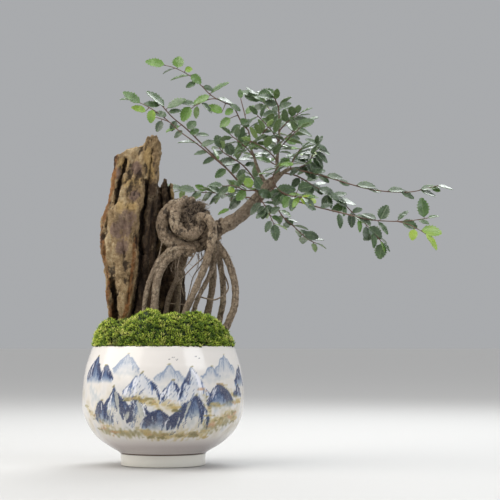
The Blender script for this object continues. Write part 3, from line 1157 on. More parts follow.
def buildRootlets(paint):
    parts = []
    for points in rootlets:
        parts.append(tube("rootlet", route3d(points, 4), 1))
    rng = random.Random(41)
    starts = []
    for k in range(240):  # torn hairs standing off the knob
        angle, rise = rng.uniform(-0.4, 3.6), rng.uniform(-0.7, 1.0)
        middle, reach = woodLook["knob"], woodLook["knobReach"]
        out = Vector((math.cos(angle) * math.cos(rise), -abs(math.sin(angle)) * math.cos(rise), math.sin(rise)))
        spot = Vector([m + r * o * 0.97 for m, r, o in zip(middle, reach, out)])
        starts.append((spot, out, rng.uniform(2.5, 8.5), 0.21))
    for k in range(70):  # fine roots hanging under the coil and in the fork on the right
        if k < 38:
            spot = Vector((rng.uniform(36, 47), rng.uniform(-9, 4), rng.uniform(168, 182)))
            out = Vector((rng.uniform(-0.2, 0.5), rng.uniform(-0.6, 0.1), -1))
        else:
            spot = Vector((rng.uniform(0, 34), rng.uniform(-7, 2), rng.uniform(166, 174)))
            out = Vector((rng.uniform(-0.5, 0.3), rng.uniform(-0.4, 0.2), -1))
        starts.append((spot, out.normalized(), rng.uniform(7, 24), 0.17))
    for spot, out, length, radius in starts:
        steps = 7
        heading = out.copy()
        points = [(at(*spot), radius * 1.5 * mm)]
        bend = Vector((rng.uniform(-1, 1), rng.uniform(-1, 1), rng.uniform(-1.2, 0.6)))
        for n in range(steps):
            wander = Vector((rng.uniform(-1, 1), rng.uniform(-1, 1), rng.uniform(-1, 1)))
            heading = (heading + bend * 0.16 + wander * 0.30).normalized()
            spot = spot + heading * length / steps
            points.append((at(*spot), radius * (1.3 - 0.9 * n / steps) * mm))
        parts.append(tube("hair", points, 0))
    hairs = joinAll(parts)
    storeValues(hairs, "raised", np.full(len(hairs.data.vertices), 0.4))
    storeValues(hairs, "knob", np.zeros(len(hairs.data.vertices)))
    storeValues(hairs, "smoothBark", np.full(len(hairs.data.vertices), 0.8))
    finishPiece(hairs, "rootlets", paint, [])
    bpy.ops.object.shade_smooth()


barkFinish = barkPaint()
buildWood(barkFinish)
buildRootlets(barkFinish)
print("trunk and roots grown")

# ---- moss and soil ----

mossLook = {
    "centres": {  # x, y, reach x, reach y, top: one for each planted cushion
        "moss_left": (-42, -10, 17, 22, 113.6), "moss_front_left": (-14, -27, 22, 20, 121.4),
        "moss_front": (8, -33, 15, 16, 117.4), "moss_front_right": (28, -24, 20, 20, 119.4),
        "moss_right": (46, -2, 13, 20, 109.6), "moss_back_right": (31, 28, 22, 20, 112),
        "moss_back": (2, 38, 20, 16, 111), "moss_back_left": (-29, 28, 23, 22, 112.6),
        "moss_middle": (8, 2, 22, 20, 110.5),
    },
    "skyline": [  # highest the carpet reaches across its width
        (-55.4, 97), (-54, 102), (-51.8, 107), (-46, 113.4), (-41.8, 115.6), (-36.7, 111.6), (-25.8, 113.6),
        (-19, 118.6), (-10.6, 121.6), (-3.8, 120.2), (-1.4, 117), (8.8, 118), (18, 117), (21.4, 119), (29.8, 119.4),
        (38.2, 117), (43.4, 113.2), (48.4, 108.4), (52.4, 103), (55.4, 97),
    ],
    "edge": 54.0,
    "rows": 44,
    "turns": 132,
    "tuftGap": 2.55,  # distance between tufts
    "tuft": 3.15,  # length of a blade
}


def mossHeight(x, y):
    radius = np.hypot(x, y) / mossLook["edge"]
    sky = lineAt(mossLook["skyline"], x)
    chord = np.sqrt(np.clip(1 - (x / mossLook["edge"]) ** 2, 1e-4, 1)) * mossLook["edge"]
    inward = np.clip((chord - np.abs(y)) / np.minimum(20.0, chord * 0.8 + 0.1), 0, 1)
    bank = np.sqrt(1 - (1 - inward) ** 2.0)
    centre = np.where(y > -8, np.clip(1 - (y + 8) / 60, 0.62, 1), 1.0)
    low = 94.2
    return low + (sky - low) * bank * centre * np.where(radius > 1.0, 0.0, 1.0) + np.where(radius > 1.0, 1.0, 0.0)


def mossBumps(x, y):
    return np.array([noise.noise(Vector((a / 6.5, b / 6.5, 2.0))) * 2.6 + noise.noise(Vector((a / 2.6, b / 2.6, 8.0))) * 1.5
                     for a, b in zip(x, y)])


def mossPaint():
    mat, tree, shader = newMaterial("mossGreen")
    place = objectPlace(tree)
    broad = noiseAt(tree, place, 60, 3, 0.6)
    fine, grit, height = useGroup(tree, surfaceGrain, Place=place, Scale=700.0)
    tip, tint = attribute(tree, "tip"), attribute(tree, "tint")
    dark = mixColour(tree, span(tree, fine, 0.35, 0.65), (0.006, 0.014, 0.002), (0.022, 0.045, 0.006))
    fresh = ramp(tree, tint, [(0.0, (0.07, 0.14, 0.010)), (0.45, (0.26, 0.40, 0.025)), (0.8, (0.58, 0.70, 0.07)),
                              (1.0, (0.86, 0.88, 0.22))])
    brown = ramp(tree, tint, [(0.0, (0.11, 0.10, 0.022)), (1.0, (0.42, 0.36, 0.10))])
    dry = calc(tree, "MULTIPLY", attribute(tree, "dry"), span(tree, broad, 0.40, 0.60))
    fresh = mixColour(tree, dry, fresh, brown)
    colour = mixColour(tree, span(tree, tip, 0.32, 0.95), dark, fresh)
    feed(tree, colour, shader.inputs["Base Color"])
    feed(tree, span(tree, fine, 0.3, 0.7, 0.55, 0.8), shader.inputs["Roughness"])
    shader.inputs["Specular IOR Level"].default_value = 0.3
    feed(tree, bump(tree, height, 0.4, 0.0004), shader.inputs["Normal"])
    return mat


def buildMossBed(paint):
    rows, turns = mossLook["rows"], mossLook["turns"]
    bpy.ops.mesh.primitive_grid_add(x_subdivisions=turns, y_subdivisions=rows, size=2, location=(0, 0, 0))
    bed = bpy.context.object
    co = vertArray(bed)
    angle, share = (co[:, 0] + 1) * math.pi, (co[:, 1] + 1) / 2
    radius = share ** 0.8 * (mossLook["edge"] - 0.4)
    x, y = radius * np.cos(angle), radius * np.sin(angle)
    z = mossHeight(x, y) + mossBumps(x, y) * np.clip((mossLook["edge"] - radius) / 4, 0, 1) - 0.9
    setVerts(bed, np.stack([x, y, z], 1) * mm + np.array(at(0, 0, 0)))
    onlyThis(bed)
    bpy.ops.object.mode_set(mode="EDIT")
    bpy.ops.mesh.select_all(action="SELECT")
    bpy.ops.mesh.remove_doubles(threshold=2e-6)
    bpy.ops.mesh.normals_make_consistent(inside=False)
    bpy.ops.object.mode_set(mode="OBJECT")
    if bed.data.polygons[len(bed.data.polygons) // 2].normal.z < 0:
        bed.data.flip_normals()
    skin = bed.modifiers.new("depth", "SOLIDIFY")
    skin.thickness = 2.2 * mm
    skin.offset = -1
    applyModifiers(bed)
    count = len(bed.data.vertices)
    storeValues(bed, "tip", np.full(count, 0.12))
    storeValues(bed, "tint", np.full(count, 0.2))
    storeValues(bed, "dry", np.full(count, 0.2))
    finishPiece(bed, "mossBed", paint, [])
    bpy.ops.object.shade_smooth()


def tuftShape():  # a star of pointed blades, each a closed sliver of four faces
    bpy.ops.mesh.primitive_cone_add(vertices=3, radius1=0.26, radius2=0, depth=1, location=(0, 0, 0.5))
    blade = bpy.context.object
    onlyThis(blade)
    bpy.ops.object.transform_apply(location=True, rotation=True, scale=True)
    sizeVerts(blade, [i for i, v in enumerate(blade.data.vertices) if v.co.z < 0.1], (1.35, 0.5, 1), (0, 0, 0))
    blades = []
    for k in range(8):
        copy = blade.copy()
        copy.data = blade.data.copy()
        bpy.context.scene.collection.objects.link(copy)
        lean = math.radians(14 if k == 7 else 56 if k % 2 else 42)
        copy.rotation_euler = (lean, 0, math.radians(k * 360 / 7 + 9 * (k % 3)))
        copy.scale = (1, 1, 0.82 if k % 2 else 1.0)
        blades.append(copy)
    bpy.data.objects.remove(blade)
    for copy in blades:
        onlyThis(copy)
        bpy.ops.object.transform_apply(location=True, rotation=True, scale=True)
    tuft = joinAll(blades)
    verts = vertArray(tuft)
    faces = np.array([list(p.vertices) for p in tuft.data.polygons])
    bpy.data.objects.remove(tuft)
    return verts, faces


def meshFrom(name, verts, faces):
    mesh = bpy.data.meshes.new(name)
    mesh.vertices.add(len(verts))
    mesh.vertices.foreach_set("co", verts.ravel())
    size = faces.shape[1]
    mesh.loops.add(faces.size)
    mesh.loops.foreach_set("vertex_index", faces.ravel())
    mesh.polygons.add(len(faces))
    mesh.polygons.foreach_set("loop_start", np.arange(0, faces.size, size))
    mesh.update(calc_edges=True)
    obj = bpy.data.objects.new(name, mesh)
    bpy.context.scene.collection.objects.link(obj)
    return obj


def buildMossTufts(paint):
    rng = np.random.default_rng(17)
    gap, edge = mossLook["tuftGap"], mossLook["edge"]
    spots = []
    rays = int(2 * math.pi * edge / gap)
    for k in range(rays):  # walks out from the middle, with even steps along the slope
        angle = (k + rng.uniform(-0.3, 0.3)) / rays * 2 * math.pi
        line = np.linspace(0.5, edge, 160)
        px, py = line * math.cos(angle), line * math.sin(angle)
        pz = mossHeight(px, py)
        steps = np.concatenate([[0], np.cumsum(np.hypot(np.diff(line), np.diff(pz)))])
        far = rng.uniform(0, gap)
        while far < steps[-1]:
            radius = np.interp(far, steps, line)
            if rng.random() < radius / edge + 0.02:
                turn = angle + rng.uniform(-0.5, 0.5) * gap / max(radius, 6)
                spots.append((radius * math.cos(turn), radius * math.sin(turn)))
            far += gap * rng.uniform(0.85, 1.1)
        for _ in range(2):  # the last ones lean over the rim
            radius = edge + rng.uniform(-0.8, 2.0)
            spots.append((radius * math.cos(angle), radius * math.sin(angle)))
    spots = np.array(spots)
    x, y = spots[:, 0], spots[:, 1]

    def height(px, py):
        inside = np.clip((edge - np.hypot(px, py)) / 4, 0, 1)
        return mossHeight(px, py) + mossBumps(px, py) * inside
    z = height(x, y)
    e = 0.35
    slopeX = (height(x + e, y) - height(x - e, y)) / (2 * e)
    slopeY = (height(x, y + e) - height(x, y - e)) / (2 * e)
    up = np.stack([-slopeX, -slopeY, np.ones(len(x))], 1)
    up /= np.linalg.norm(up, axis=1)[:, None]
    up[:, 2] += 0.55
    up += rng.uniform(-0.32, 0.32, up.shape)
    up /= np.linalg.norm(up, axis=1)[:, None]
    centres = mossLook["centres"]
    names = list(centres)
    near = np.stack([((x - c[0]) / c[2]) ** 2 + ((y - c[1]) / c[3]) ** 2 for c in centres.values()])
    owner = near.argmin(0)
    verts, faces = tuftShape()
    tips = np.clip(np.linalg.norm(verts, axis=1), 0, 1)
    for number, name in enumerate(names):
        mine = np.flatnonzero(owner == number)
        allVerts, allFaces, tip, tint, dry = [], [], [], [], []
        for k, i in enumerate(mine):
            axis = Vector(up[i])
            turn = (axis.to_track_quat("Z", "Y").to_matrix() @ Matrix.Rotation(rng.uniform(0, 6.28), 3, "Z"))
            size = mossLook["tuft"] * rng.uniform(0.66, 1.35)
            spot = np.array([x[i], y[i], z[i] - 1.3 + rng.uniform(-0.6, 0.7)])
            allVerts.append((verts * size) @ np.array(turn).T + spot)
            allFaces.append(faces + k * len(verts))
            tip.append(tips)
            tint.append(np.full(len(verts), np.clip(rng.normal(0.5, 0.3), 0, 1)))
            brown = math.exp(-((x[i] + 36) / 11) ** 2 - ((y[i] + 30) / 14) ** 2) + rng.uniform(0, 0.25)
            dry.append(np.full(len(verts), min(brown, 1.0)))
        piece = meshFrom(name, np.concatenate(allVerts) * mm + np.array(at(0, 0, 0)), np.concatenate(allFaces))
        storeValues(piece, "tip", np.concatenate(tip))
        storeValues(piece, "tint", np.concatenate(tint))
        storeValues(piece, "dry", np.concatenate(dry))
        words = name.split("_")
        finishPiece(piece, words[0] + "".join(word.title() for word in words[1:]), paint, [name])
    print("moss tufts", len(x))


def soilPaint():
    mat, tree, shader = newMaterial("pottingSoil")
    place = objectPlace(tree)
    grain = cellsAt(tree, place, 420)
    fine, grit, height = useGroup(tree, surfaceGrain, Place=place, Scale=900.0)
    colour = ramp(tree, calc(tree, "ADD", grain, calc(tree, "MULTIPLY", fine, 0.6)),
                  [(0.3, (0.012, 0.008, 0.006)), (0.6, (0.055, 0.036, 0.024)), (0.9, (0.13, 0.09, 0.06))])
    feed(tree, colour, shader.inputs["Base Color"])
    feed(tree, span(tree, fine, 0.3, 0.7, 0.95, 0.8), shader.inputs["Roughness"])
    feed(tree, bump(tree, calc(tree, "ADD", grain, height), 1.0, 0.0012), shader.inputs["Normal"])
    return mat


def plasticPaint():
    mat, tree, shader = newMaterial("drainPlastic")
    place = objectPlace(tree)
    scuff, grit, height = useGroup(tree, surfaceGrain, Place=place, Scale=600.0)
    feed(tree, ramp(tree, scuff, [(0.3, (0.010, 0.011, 0.012)), (0.8, (0.035, 0.036, 0.038))]), shader.inputs["Base Color"])
    feed(tree, span(tree, scuff, 0.3, 0.7, 0.45, 0.65), shader.inputs["Roughness"])
    feed(tree, bump(tree, height, 0.25, 0.0003), shader.inputs["Normal"])
    return mat


mossFinish = mossPaint()
buildMossBed(mossFinish)
buildMossTufts(mossFinish)
for nodeName, finish in (("soil", soilPaint()), ("drain_mesh", plasticPaint())):
    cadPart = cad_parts[nodeName]
    cadPart.data.materials.clear()
    cadPart.data.materials.append(finish)
print("moss planted")

# ---- leafy shoots ----

shoots = {  # stems as x, y, z; girth at both ends; leaf spacing, first leaf and turn round the stem
    "shoot_long_left": [
        ([(80, 0, 218), (71, -4, 219.6), (61.2, -6, 224.4), (54, -7, 232), (43.6, -9, 242.4), (32.4,
          -11, 253.2), (18.8, -14, 266.4), (7.1, -16, 276), (-2, -17, 286.1), (-6.2, -18, 289.6)],
         (1.2, 0.45), 7.5, 26, 35),
        ([(57, -6.5, 228.6), (50, -11, 235.6), (39.6, -17, 244), (27.6, -20, 253.6), (14, -22, 263.2),
          (5.2, -24, 270.8), (-5.6, -26, 274.4)],
         (0.9, 0.4), 8, 12, -30),
        ([(8, -23.4, 268.6), (-3.1, -21, 277.9), (-14.3, -22, 284.6), (-21.6, -23, 287.6)],
         (0.6, 0.35), 7, 9, 40),
    ],
    "shoot_top_left": [
        ([(68.8, -4, 260), (67.6, -4, 267), (62.8, -5, 271.6), (58.8, -7, 280), (55.2, -8, 286), (48.4,
          -9, 288.6), (42.8, -10, 291.2), (36.7, -11, 291), (27.6, -12, 287.2), (21.2, -13, 282.4)],
         (0.9, 0.4), 8, 14, 45),
        ([(42.6, -10, 291.2), (36.4, -10, 295.6), (29.6, -11, 302.4), (20.6, -12, 310), (8.6, -13, 316),
          (-1.2, -14, 318.2)],
         (0.6, 0.35), 9, 10, 50),
        ([(66.4, -4.4, 268.6), (65, -2, 279), (61.6, 2, 293)],
         (0.7, 0.5), 12, 14, 0),
    ],
    "shoot_inner_left": [
        ([(79, 1, 217), (74, 6, 226), (68, 8, 235), (60.4, 10, 242.7), (47.6, 12, 251), (43.5, 13,
          256)],
         (1, 0.45), 6.5, 18, 50),
    ],
    "shoot_low_left": [
        ([(78, -1, 216.6), (72, -9, 218), (65, -14, 217.6), (56, -19, 221), (48, -22, 220)],
         (0.8, 0.4), 6, 14, 30),
    ],
    "shoot_back_left": [
        ([(75, 2, 213), (66, 12, 214.5), (57, 22, 216.6), (41, 32, 220), (25, 40, 221.6), (9, 46,
          225.6)],
         (1, 0.4), 7.5, 18, 10),
    ],
    "shoot_leader": [
        ([(92.4, 2, 272), (92.4, 2, 280), (91.6, 2, 288), (88.4, 1, 294)],
         (0.9, 0.5), 5, 5, 0),
    ],
    "shoot_right_arch": [
        ([(108.4, -3, 236.9), (113.6, -4, 239.6), (118.2, -5, 245), (122.8, -7, 255.6)],
         (0.9, 0.45), 4.2, 4, 20),
    ],
    "shoot_right_upper": [
        ([(103, -2.4, 236.2), (112, -7, 233.6), (122, -9, 231.2), (133.8, -11, 227.5), (148.2, -13,
          222.8), (164.2, -15, 218.4), (181.2, -16, 216.2), (197.2, -17, 216.2), (209, -18, 218.8),
          (217, -19, 220.6)],
         (1, 0.4), 9.5, 13, 25),
    ],
    "shoot_right_lower": [
        ([(85, -1, 223), (90, -6, 216.4), (97.2, -10, 212), (109.2, -14, 208), (126, -20, 202.9),
          (143.8, -24, 198.2), (160.4, -27, 193.8), (173.2, -28, 192.2), (190, -30, 191.8), (207.6, -31,
          194)],
         (1.1, 0.4), 12.5, 22, 40),
        ([(183, -29.2, 192), (192.4, -31, 189.4), (200, -33, 185.4), (206, -35, 181.4)],
         (0.6, 0.35), 7.5, 9, 30),
    ],
    "shoot_right_middle": [
        ([(95, -0.4, 233), (104, 4, 232), (112, 6, 228.6), (121, 8, 223), (131.6, 10, 217.6), (144, 12,
          210), (152.6, 13, 201.8), (163.6, 14, 192), (176.4, 15, 177.8)],
         (0.9, 0.4), 7.5, 16, 30),
    ],
    "shoot_low_back": [
        ([(83, 2, 222), (87, 12, 213), (95.6, 22, 200), (105.2, 30, 192), (115.6, 38, 183), (123.6, 42,
          179.2)],
         (0.9, 0.4), 9, 26, 0),
    ],
    "shoot_hanging": [
        ([(76, -2, 213), (80, -12, 207), (84, -17, 199), (88, -19, 190)],
         (0.7, 0.4), 6.5, 13, 20),
    ],
    "shoot_low_right": [
        ([(87, -2, 226), (94, -16, 216), (103, -27, 211.6), (113, -33, 210)],
         (0.7, 0.4), 6, 17, 30),
    ],
    "shoot_back_top": [
        ([(92.4, 2, 262), (92, 12, 271), (85.2, 26, 288), (79, 32, 296), (74, 37, 301)],
         (0.8, 0.4), 6.5, 12, 20),
    ],
    "shoot_back_right": [
        ([(91.8, 2, 255), (98, 11, 263), (107.6, 22, 272), (117, 32, 279.6)],
         (0.8, 0.4), 6.5, 12, 0),
    ],
    "shoot_front_left": [
        ([(90.9, 1, 243), (84, -11, 249), (76, -21, 253), (70, -28, 255)],
         (0.7, 0.4), 6, 9, 25),
    ],
    "shoot_front_right": [
        ([(91.6, 2, 252), (98, -6, 258), (105, -15, 264), (109, -21, 267)],
         (0.7, 0.4), 6, 9, -25),
    ],
    "shoot_upper_left": [
        ([(92.2, 2, 259), (86, -5, 267), (79.6, -12, 273), (75, -17, 277)],
         (0.7, 0.4), 6, 9, 35),
    ],
    "shoot_upper_right": [
        ([(92.4, 2, 267), (98, -1, 273), (104, -5, 277.6), (109, -9, 280)],
         (0.7, 0.4), 5.5, 8, 10),
    ],
    "shoot_back": [
        ([(91.2, 2, 247), (92, 13, 252), (92, 24, 257), (90, 34, 261)],
         (0.7, 0.4), 6, 9, 0),
    ],
    "shoot_riser_left": [
        ([(72.6, -3, 245), (66, -12, 252), (60, -20, 256), (54, -26, 260)],
         (0.7, 0.4), 6, 9, 45),
    ],
    "shoot_riser_front": [
        ([(70, -4, 252), (75, -12, 258), (80, -20, 263), (83, -27, 266)],
         (0.7, 0.4), 6, 9, -35),
    ],
    "shoot_arm_front": [
        ([(101, -2, 236), (103, -13, 241), (106, -22, 246), (109, -30, 249)],
         (0.7, 0.4), 6, 9, 25),
    ],
    "shoot_arm_back": [
        ([(98, -1, 235), (102, 11, 242), (107, 22, 247), (111, 31, 250)],
         (0.7, 0.4), 6, 9, 0),
    ],
    "shoot_back_inner": [
        ([(90.9, 1, 239), (84, 12, 244), (77, 23, 248), (71, 33, 251)],
         (0.7, 0.4), 6, 9, 0),
    ],
    "shoot_crown_front": [
        ([(87, -1, 227), (88, -14, 231), (90, -25, 234), (91, -35, 235)],
         (0.7, 0.4), 6, 10, 30),
    ],
}
# Leaves set by eye: base x, z and tip x, z, width as seen from the front, freshness, paleness.
setLeaves = {
    "shoot_long_left": [
        (-17.5, 285.6, -30.6, 294.9, 7.2, 0.42, 0.2), (-21.6, 287.4, -33.2, 290.4, 2.6, 0.3, 0.7),
        (-13.6, 279.4, -24.6, 283.8, 5.2, 0.85, 0.1), (-8.1, 281, -10.3, 270.6, 6.8, 0.8, 0.0),
        (-3, 284.8, -15.4, 286.6, 5.4, 0.2, 0.6), (0.6, 284.4, -12.6, 297.4, 5.4, 0.2, 0.35),
        (3.2, 283, 18, 290.3, 6, 0.3, 0.25), (13, 268.6, 2, 264.8, 4, 0.75, 0.4), (27.2, 254.7, 12, 256.2, 3.2, 0.2, 0.7),
        (25.8, 261.6, 36, 262.9, 2.8, 0.2, 0.6), (34.9, 247.6, 24.5, 246.3, 4.2, 0.2, 0.55),
        (4.5, 279.8, 14.4, 281.2, 4.4, 0.2, 0.5), (19.6, 266.4, 25.6, 273.4, 7.4, 0.3, 0.3),
        (21.4, 262.6, 28.4, 266.6, 5.4, 0.4, 0.3), (-0.6, 271.6, -4.6, 262.8, 6, 0.05, 0.15),
        (41, 243.4, 31.6, 238.4, 4.4, 0.1, 0.2), (46.4, 238.6, 56, 238.8, 3.2, 0.1, 0.5), (3, 276, -6.6, 279, 5.2, 0.15, 0.6),
        (30.6, 252.4, 40.6, 256.4, 4.6, 0.15, 0.5), (15.6, 264.2, 8.8, 258.8, 4.6, 0.1, 0.4),
        (50.5, 235.4, 41.8, 229.2, 6, 0.35, 0.1), (10.4, 273.6, 6.8, 265.4, 5.6, 0.1, 0.2),
    ],
    "shoot_top_left": [
        (1.5, 318, -13.7, 321, 7.4, 0.62, 0.25), (11.3, 316, 12.8, 325, 9.6, 0.6, 0.12), (17, 314, 23, 315, 5, 0.85, 0),
        (19.7, 309.6, 5.4, 306.6, 2.6, 0.4, 0.5), (22, 310.4, 30, 303.6, 7, 0.5, 0.15), (37, 295.4, 51.4, 304.4, 4, 0.35, 0.3),
        (31.8, 301.4, 39.9, 298.6, 4.4, 0.2, 0.5), (37.5, 294, 23.6, 287.3, 6.8, 0.6, 0.2),
        (43, 292, 56.4, 289, 3.8, 0.15, 0.7), (46.8, 280.4, 34.9, 287.3, 7.2, 0.7, 0), (21, 284.4, 14.8, 273, 8.6, 0.7, 0.2),
        (53.1, 276.4, 44.9, 269, 7, 0.65, 0.3), (60.6, 276.4, 67.6, 270.4, 5.2, 0.4, 0.4), (56, 284, 50, 279.6, 5.6, 0.6, 0.2),
        (62, 271.6, 54.4, 265.4, 5.4, 0.25, 0.5), (61.8, 271, 70.4, 275.8, 5, 0.15, 0.5), (30, 288.4, 38.4, 281.2, 4.2, 0.2, 0.4),
        (24.6, 286.4, 14.2, 288.6, 4, 0.25, 0.5), (66.6, 264.6, 58.6, 259.4, 5, 0.1, 0.3),
        (26.4, 304.8, 18.6, 300.6, 4.4, 0.3, 0.2), (52, 287, 61, 283.2, 4, 0.2, 0.6),
    ],
    "shoot_inner_left": [
        (45.3, 254, 42, 264.8, 7.6, 0.15, 0.35), (53.8, 248.4, 50.7, 259, 8.2, 0.1, 0.4), (57.9, 243.9, 45, 244.4, 4.4, 0.1, 0.45),
        (57.9, 245.2, 70, 244.8, 2.8, 0.1, 0.6), (62.6, 253, 64.8, 266.6, 9, 0.28, 0), (68, 259.3, 75.6, 253.8, 5, 0.1, 0.6),
        (48, 251, 37.6, 249, 4, 0.1, 0.5), (60.6, 241.6, 54.2, 233.8, 5.6, 0.3, 0.1), (66, 237, 57.6, 229.6, 5.2, 0.2, 0.2),
        (64, 240, 73.6, 241.4, 4, 0.15, 0.5), (70, 230, 60.6, 226.6, 4.6, 0.35, 0.2),
    ],
    "shoot_low_left": [
        (70.6, 220.6, 64.2, 227.4, 8, 0.85, 0), (57, 216.4, 49.4, 219.4, 5.4, 0.9, 0), (66.4, 217.6, 58.6, 210.6, 7.4, 0.55, 0.15),
        (80, 219, 73.6, 229.4, 11, 0.25, 0.5), (61, 219.6, 52.4, 224.6, 6, 0.3, 0.3), (74.6, 218, 86, 213.4, 7, 0.2, 0.4),
        (52.6, 220.4, 44.6, 214.6, 6, 0.2, 0.5), (48, 220.6, 37.6, 221, 4.4, 0.15, 0.5),
    ],
    "shoot_back_left": [
        (24.6, 222, 10.4, 225, 5.6, 0.25, 0.5), (32, 222.4, 23.6, 226.6, 5, 0.6, 0.1), (45, 219.6, 34, 225.6, 5.4, 0.2, 0.5),
        (50, 218, 40, 216.2, 3.6, 0.25, 0.3), (57, 216.6, 45.6, 223.4, 4.6, 0.15, 0.4), (39, 220.6, 29.6, 215, 4, 0.1, 0.85),
        (44.6, 219, 35, 211, 3.8, 0.1, 0.9), (62, 215, 53, 206.4, 6.4, 0.05, 0.7), (13, 224.6, 1.8, 227, 4.4, 0.2, 0.4),
        (52, 206, 42.6, 202, 3.6, 0.7, 0), (30, 221.6, 20.4, 218.4, 3.6, 0.25, 0.3),
    ],
    "shoot_leader": [
        (89, 293.8, 76, 295.4, 5, 0.1, 0.6), (91.6, 288.4, 81.6, 290.8, 6, 0.1, 0.45), (91.8, 286.8, 101.4, 289, 5, 0.15, 0.6),
        (92.2, 280.6, 82.4, 283, 4.4, 0.15, 0.5), (92.4, 278, 102.4, 274.6, 4.6, 0.3, 0.4), (92.4, 276, 84, 270.4, 5, 0.2, 0.5),
    ],
    "shoot_right_arch": [
        (122, 249.4, 131.4, 241, 5, 0.15, 0.4), (123.6, 252.6, 133, 247, 4.4, 0.15, 0.5), (119.6, 244.6, 127.6, 235.6, 5.4, 0.1, 0.5),
        (116.4, 241, 123.4, 231.4, 5, 0.05, 0.6), (112, 238.6, 117.6, 229.4, 5, 0.1, 0.45), (121.2, 247.6, 108, 250, 3.6, 0.1, 0.5),
        (118.6, 243.8, 106, 246.6, 3.4, 0.1, 0.5), (122.8, 251.4, 110, 255.4, 3.4, 0.2, 0.35), (115, 240.8, 103.6, 243.6, 3.2, 0.05, 0.5),
        (123, 254.8, 113.4, 259.6, 4, 0.3, 0.3), (122.4, 254.4, 130, 251.6, 3.8, 0.2, 0.6), (109.6, 237.4, 101.6, 231, 4.6, 0.1, 0.4),
        (121, 247, 128.6, 237.6, 4.6, 0.1, 0.7), (114, 239.6, 121, 228.6, 4.4, 0.1, 0.8),
    ],
    "shoot_right_upper": [
        (129.4, 229.6, 142.4, 229, 5.2, 0.15, 0.4), (154, 221.9, 168.8, 221.6, 5.4, 0.15, 0.5),
        (178.8, 217.4, 191.6, 217.8, 5, 0.12, 0.6), (203.4, 218, 218.6, 219.6, 5, 0.2, 0.4),
        (139.6, 225.4, 148.4, 222.2, 4.2, 0.1, 0.9), (163.4, 218.2, 173.4, 216.8, 3.2, 0.1, 0.9),
        (188.6, 216.2, 199.4, 211.2, 5, 0.15, 0.7), (203.6, 217.4, 215.6, 213.2, 4.4, 0.1, 0.85),
        (217.2, 221.2, 229, 218.2, 3, 0.2, 0.9), (211.6, 219.2, 219.4, 217.4, 4.4, 0.5, 0.3),
        (118, 232, 128.6, 234.6, 4, 0.15, 0.5), (112, 233.4, 120.6, 228, 5, 0.1, 0.6), (122.6, 231, 131.6, 225.4, 4.4, 0.1, 0.7),
        (106, 235.4, 116.4, 236.4, 4.6, 0.1, 0.5),
    ],
    "shoot_right_lower": [
        (205, 193.8, 203.2, 209.3, 9.2, 0.35, 0.15), (171.3, 193.4, 176.8, 204.6, 8.6, 0.15, 0.5),
        (167.7, 193.6, 157.2, 198.6, 4.4, 0.1, 0.6), (151, 196.4, 164.4, 190.5, 5.2, 0.1, 0.85),
        (187.2, 191.6, 199.6, 187.4, 6.8, 0.3, 0.5), (197.8, 186, 195.6, 177.4, 6.8, 0.95, 0), (202, 184.4, 218.5, 183.1, 8.2, 0.85, 0),
        (205.4, 181.6, 214.8, 170.3, 4.6, 0.95, 0.1), (124.6, 203.4, 133.4, 206.6, 4, 0.1, 0.6), (113, 207, 121.6, 202.4, 4.6, 0.15, 0.85),
        (103, 210.4, 114.6, 213.6, 5, 0.4, 0.3), (93, 214, 103.4, 218.6, 6, 0.15, 0.4),
    ],
    "shoot_right_middle": [
        (138.3, 213.6, 154.2, 209.2, 5.4, 0.15, 0.6), (147.2, 208.6, 135, 203.4, 7, 0.3, 0.3), (165, 190, 176.2, 181.4, 9, 0.15, 0.4),
        (176.4, 177, 173.8, 164.4, 9.6, 0.3, 0.3), (130.4, 218, 142, 211.6, 5, 0.15, 0.7), (117.6, 225, 127.6, 217.6, 5, 0.1, 0.7),
        (124.4, 221, 135, 219.4, 4.6, 0.1, 0.9), (109.6, 230, 103.4, 222.4, 6, 0.1, 0.4), (157.6, 197.4, 168, 196.4, 4.6, 0.2, 0.6),
        (170, 185, 160.6, 180.6, 6, 0.1, 0.3), (121, 223, 114.4, 215.2, 6, 0.15, 0.3), (133, 216.6, 127.6, 208.6, 5.4, 0.2, 0.4),
        (152, 202.4, 160, 205.6, 4, 0.2, 0.5),
    ],
    "shoot_low_back": [
        (113.8, 186, 125.6, 183.6, 7.4, 0.1, 0.8), (105, 192.6, 98, 198.6, 5, 0.1, 0.7), (120.6, 180.8, 112, 190.4, 4.6, 0.2, 0.4),
    ],
    "shoot_hanging": [
        (87.6, 191, 90, 178, 7.6, 0.2, 0.4), (82.6, 204, 78.6, 194.4, 6, 0.1, 0.3), (84.6, 198.6, 91.6, 203.4, 5, 0.2, 0.2),
        (78, 209, 69.6, 199.6, 5.4, 0.05, 0.6), (83, 201.4, 74.4, 195.6, 4, 0.1, 0.7), (80.6, 206, 88.6, 199.6, 5, 0.15, 0.3),
    ],
    "shoot_low_right": [
        (108.3, 208.8, 121.3, 207.8, 8.4, 1.0, 0), (98.6, 213.4, 113.2, 211.2, 4, 0.8, 0.1), (106.4, 217, 117.4, 219.6, 8.6, 0.15, 0.15),
        (90, 218.6, 105.6, 219, 6.4, 0.2, 0.3), (84.6, 217, 99, 210.6, 8.2, 0.15, 0.6), (101.6, 212, 95.6, 203.6, 7.4, 0.45, 0.1),
        (111.6, 210.4, 118.4, 201, 6, 0.1, 0.9), (104, 211, 101.4, 200.6, 6.4, 0.15, 0.6), (108, 210.6, 102.6, 203.4, 4.6, 0.8, 0),
        (94.4, 215.6, 88.6, 206, 7, 0.2, 0.3),
    ],
    "shoot_back_top": [
        (74.6, 300.4, 60.5, 305.4, 5.6, 0.25, 0.3), (75.8, 300.4, 88.7, 306.6, 7.6, 0.3, 0.25), (78.6, 296.4, 65.4, 301, 6.4, 0.15, 0.4),
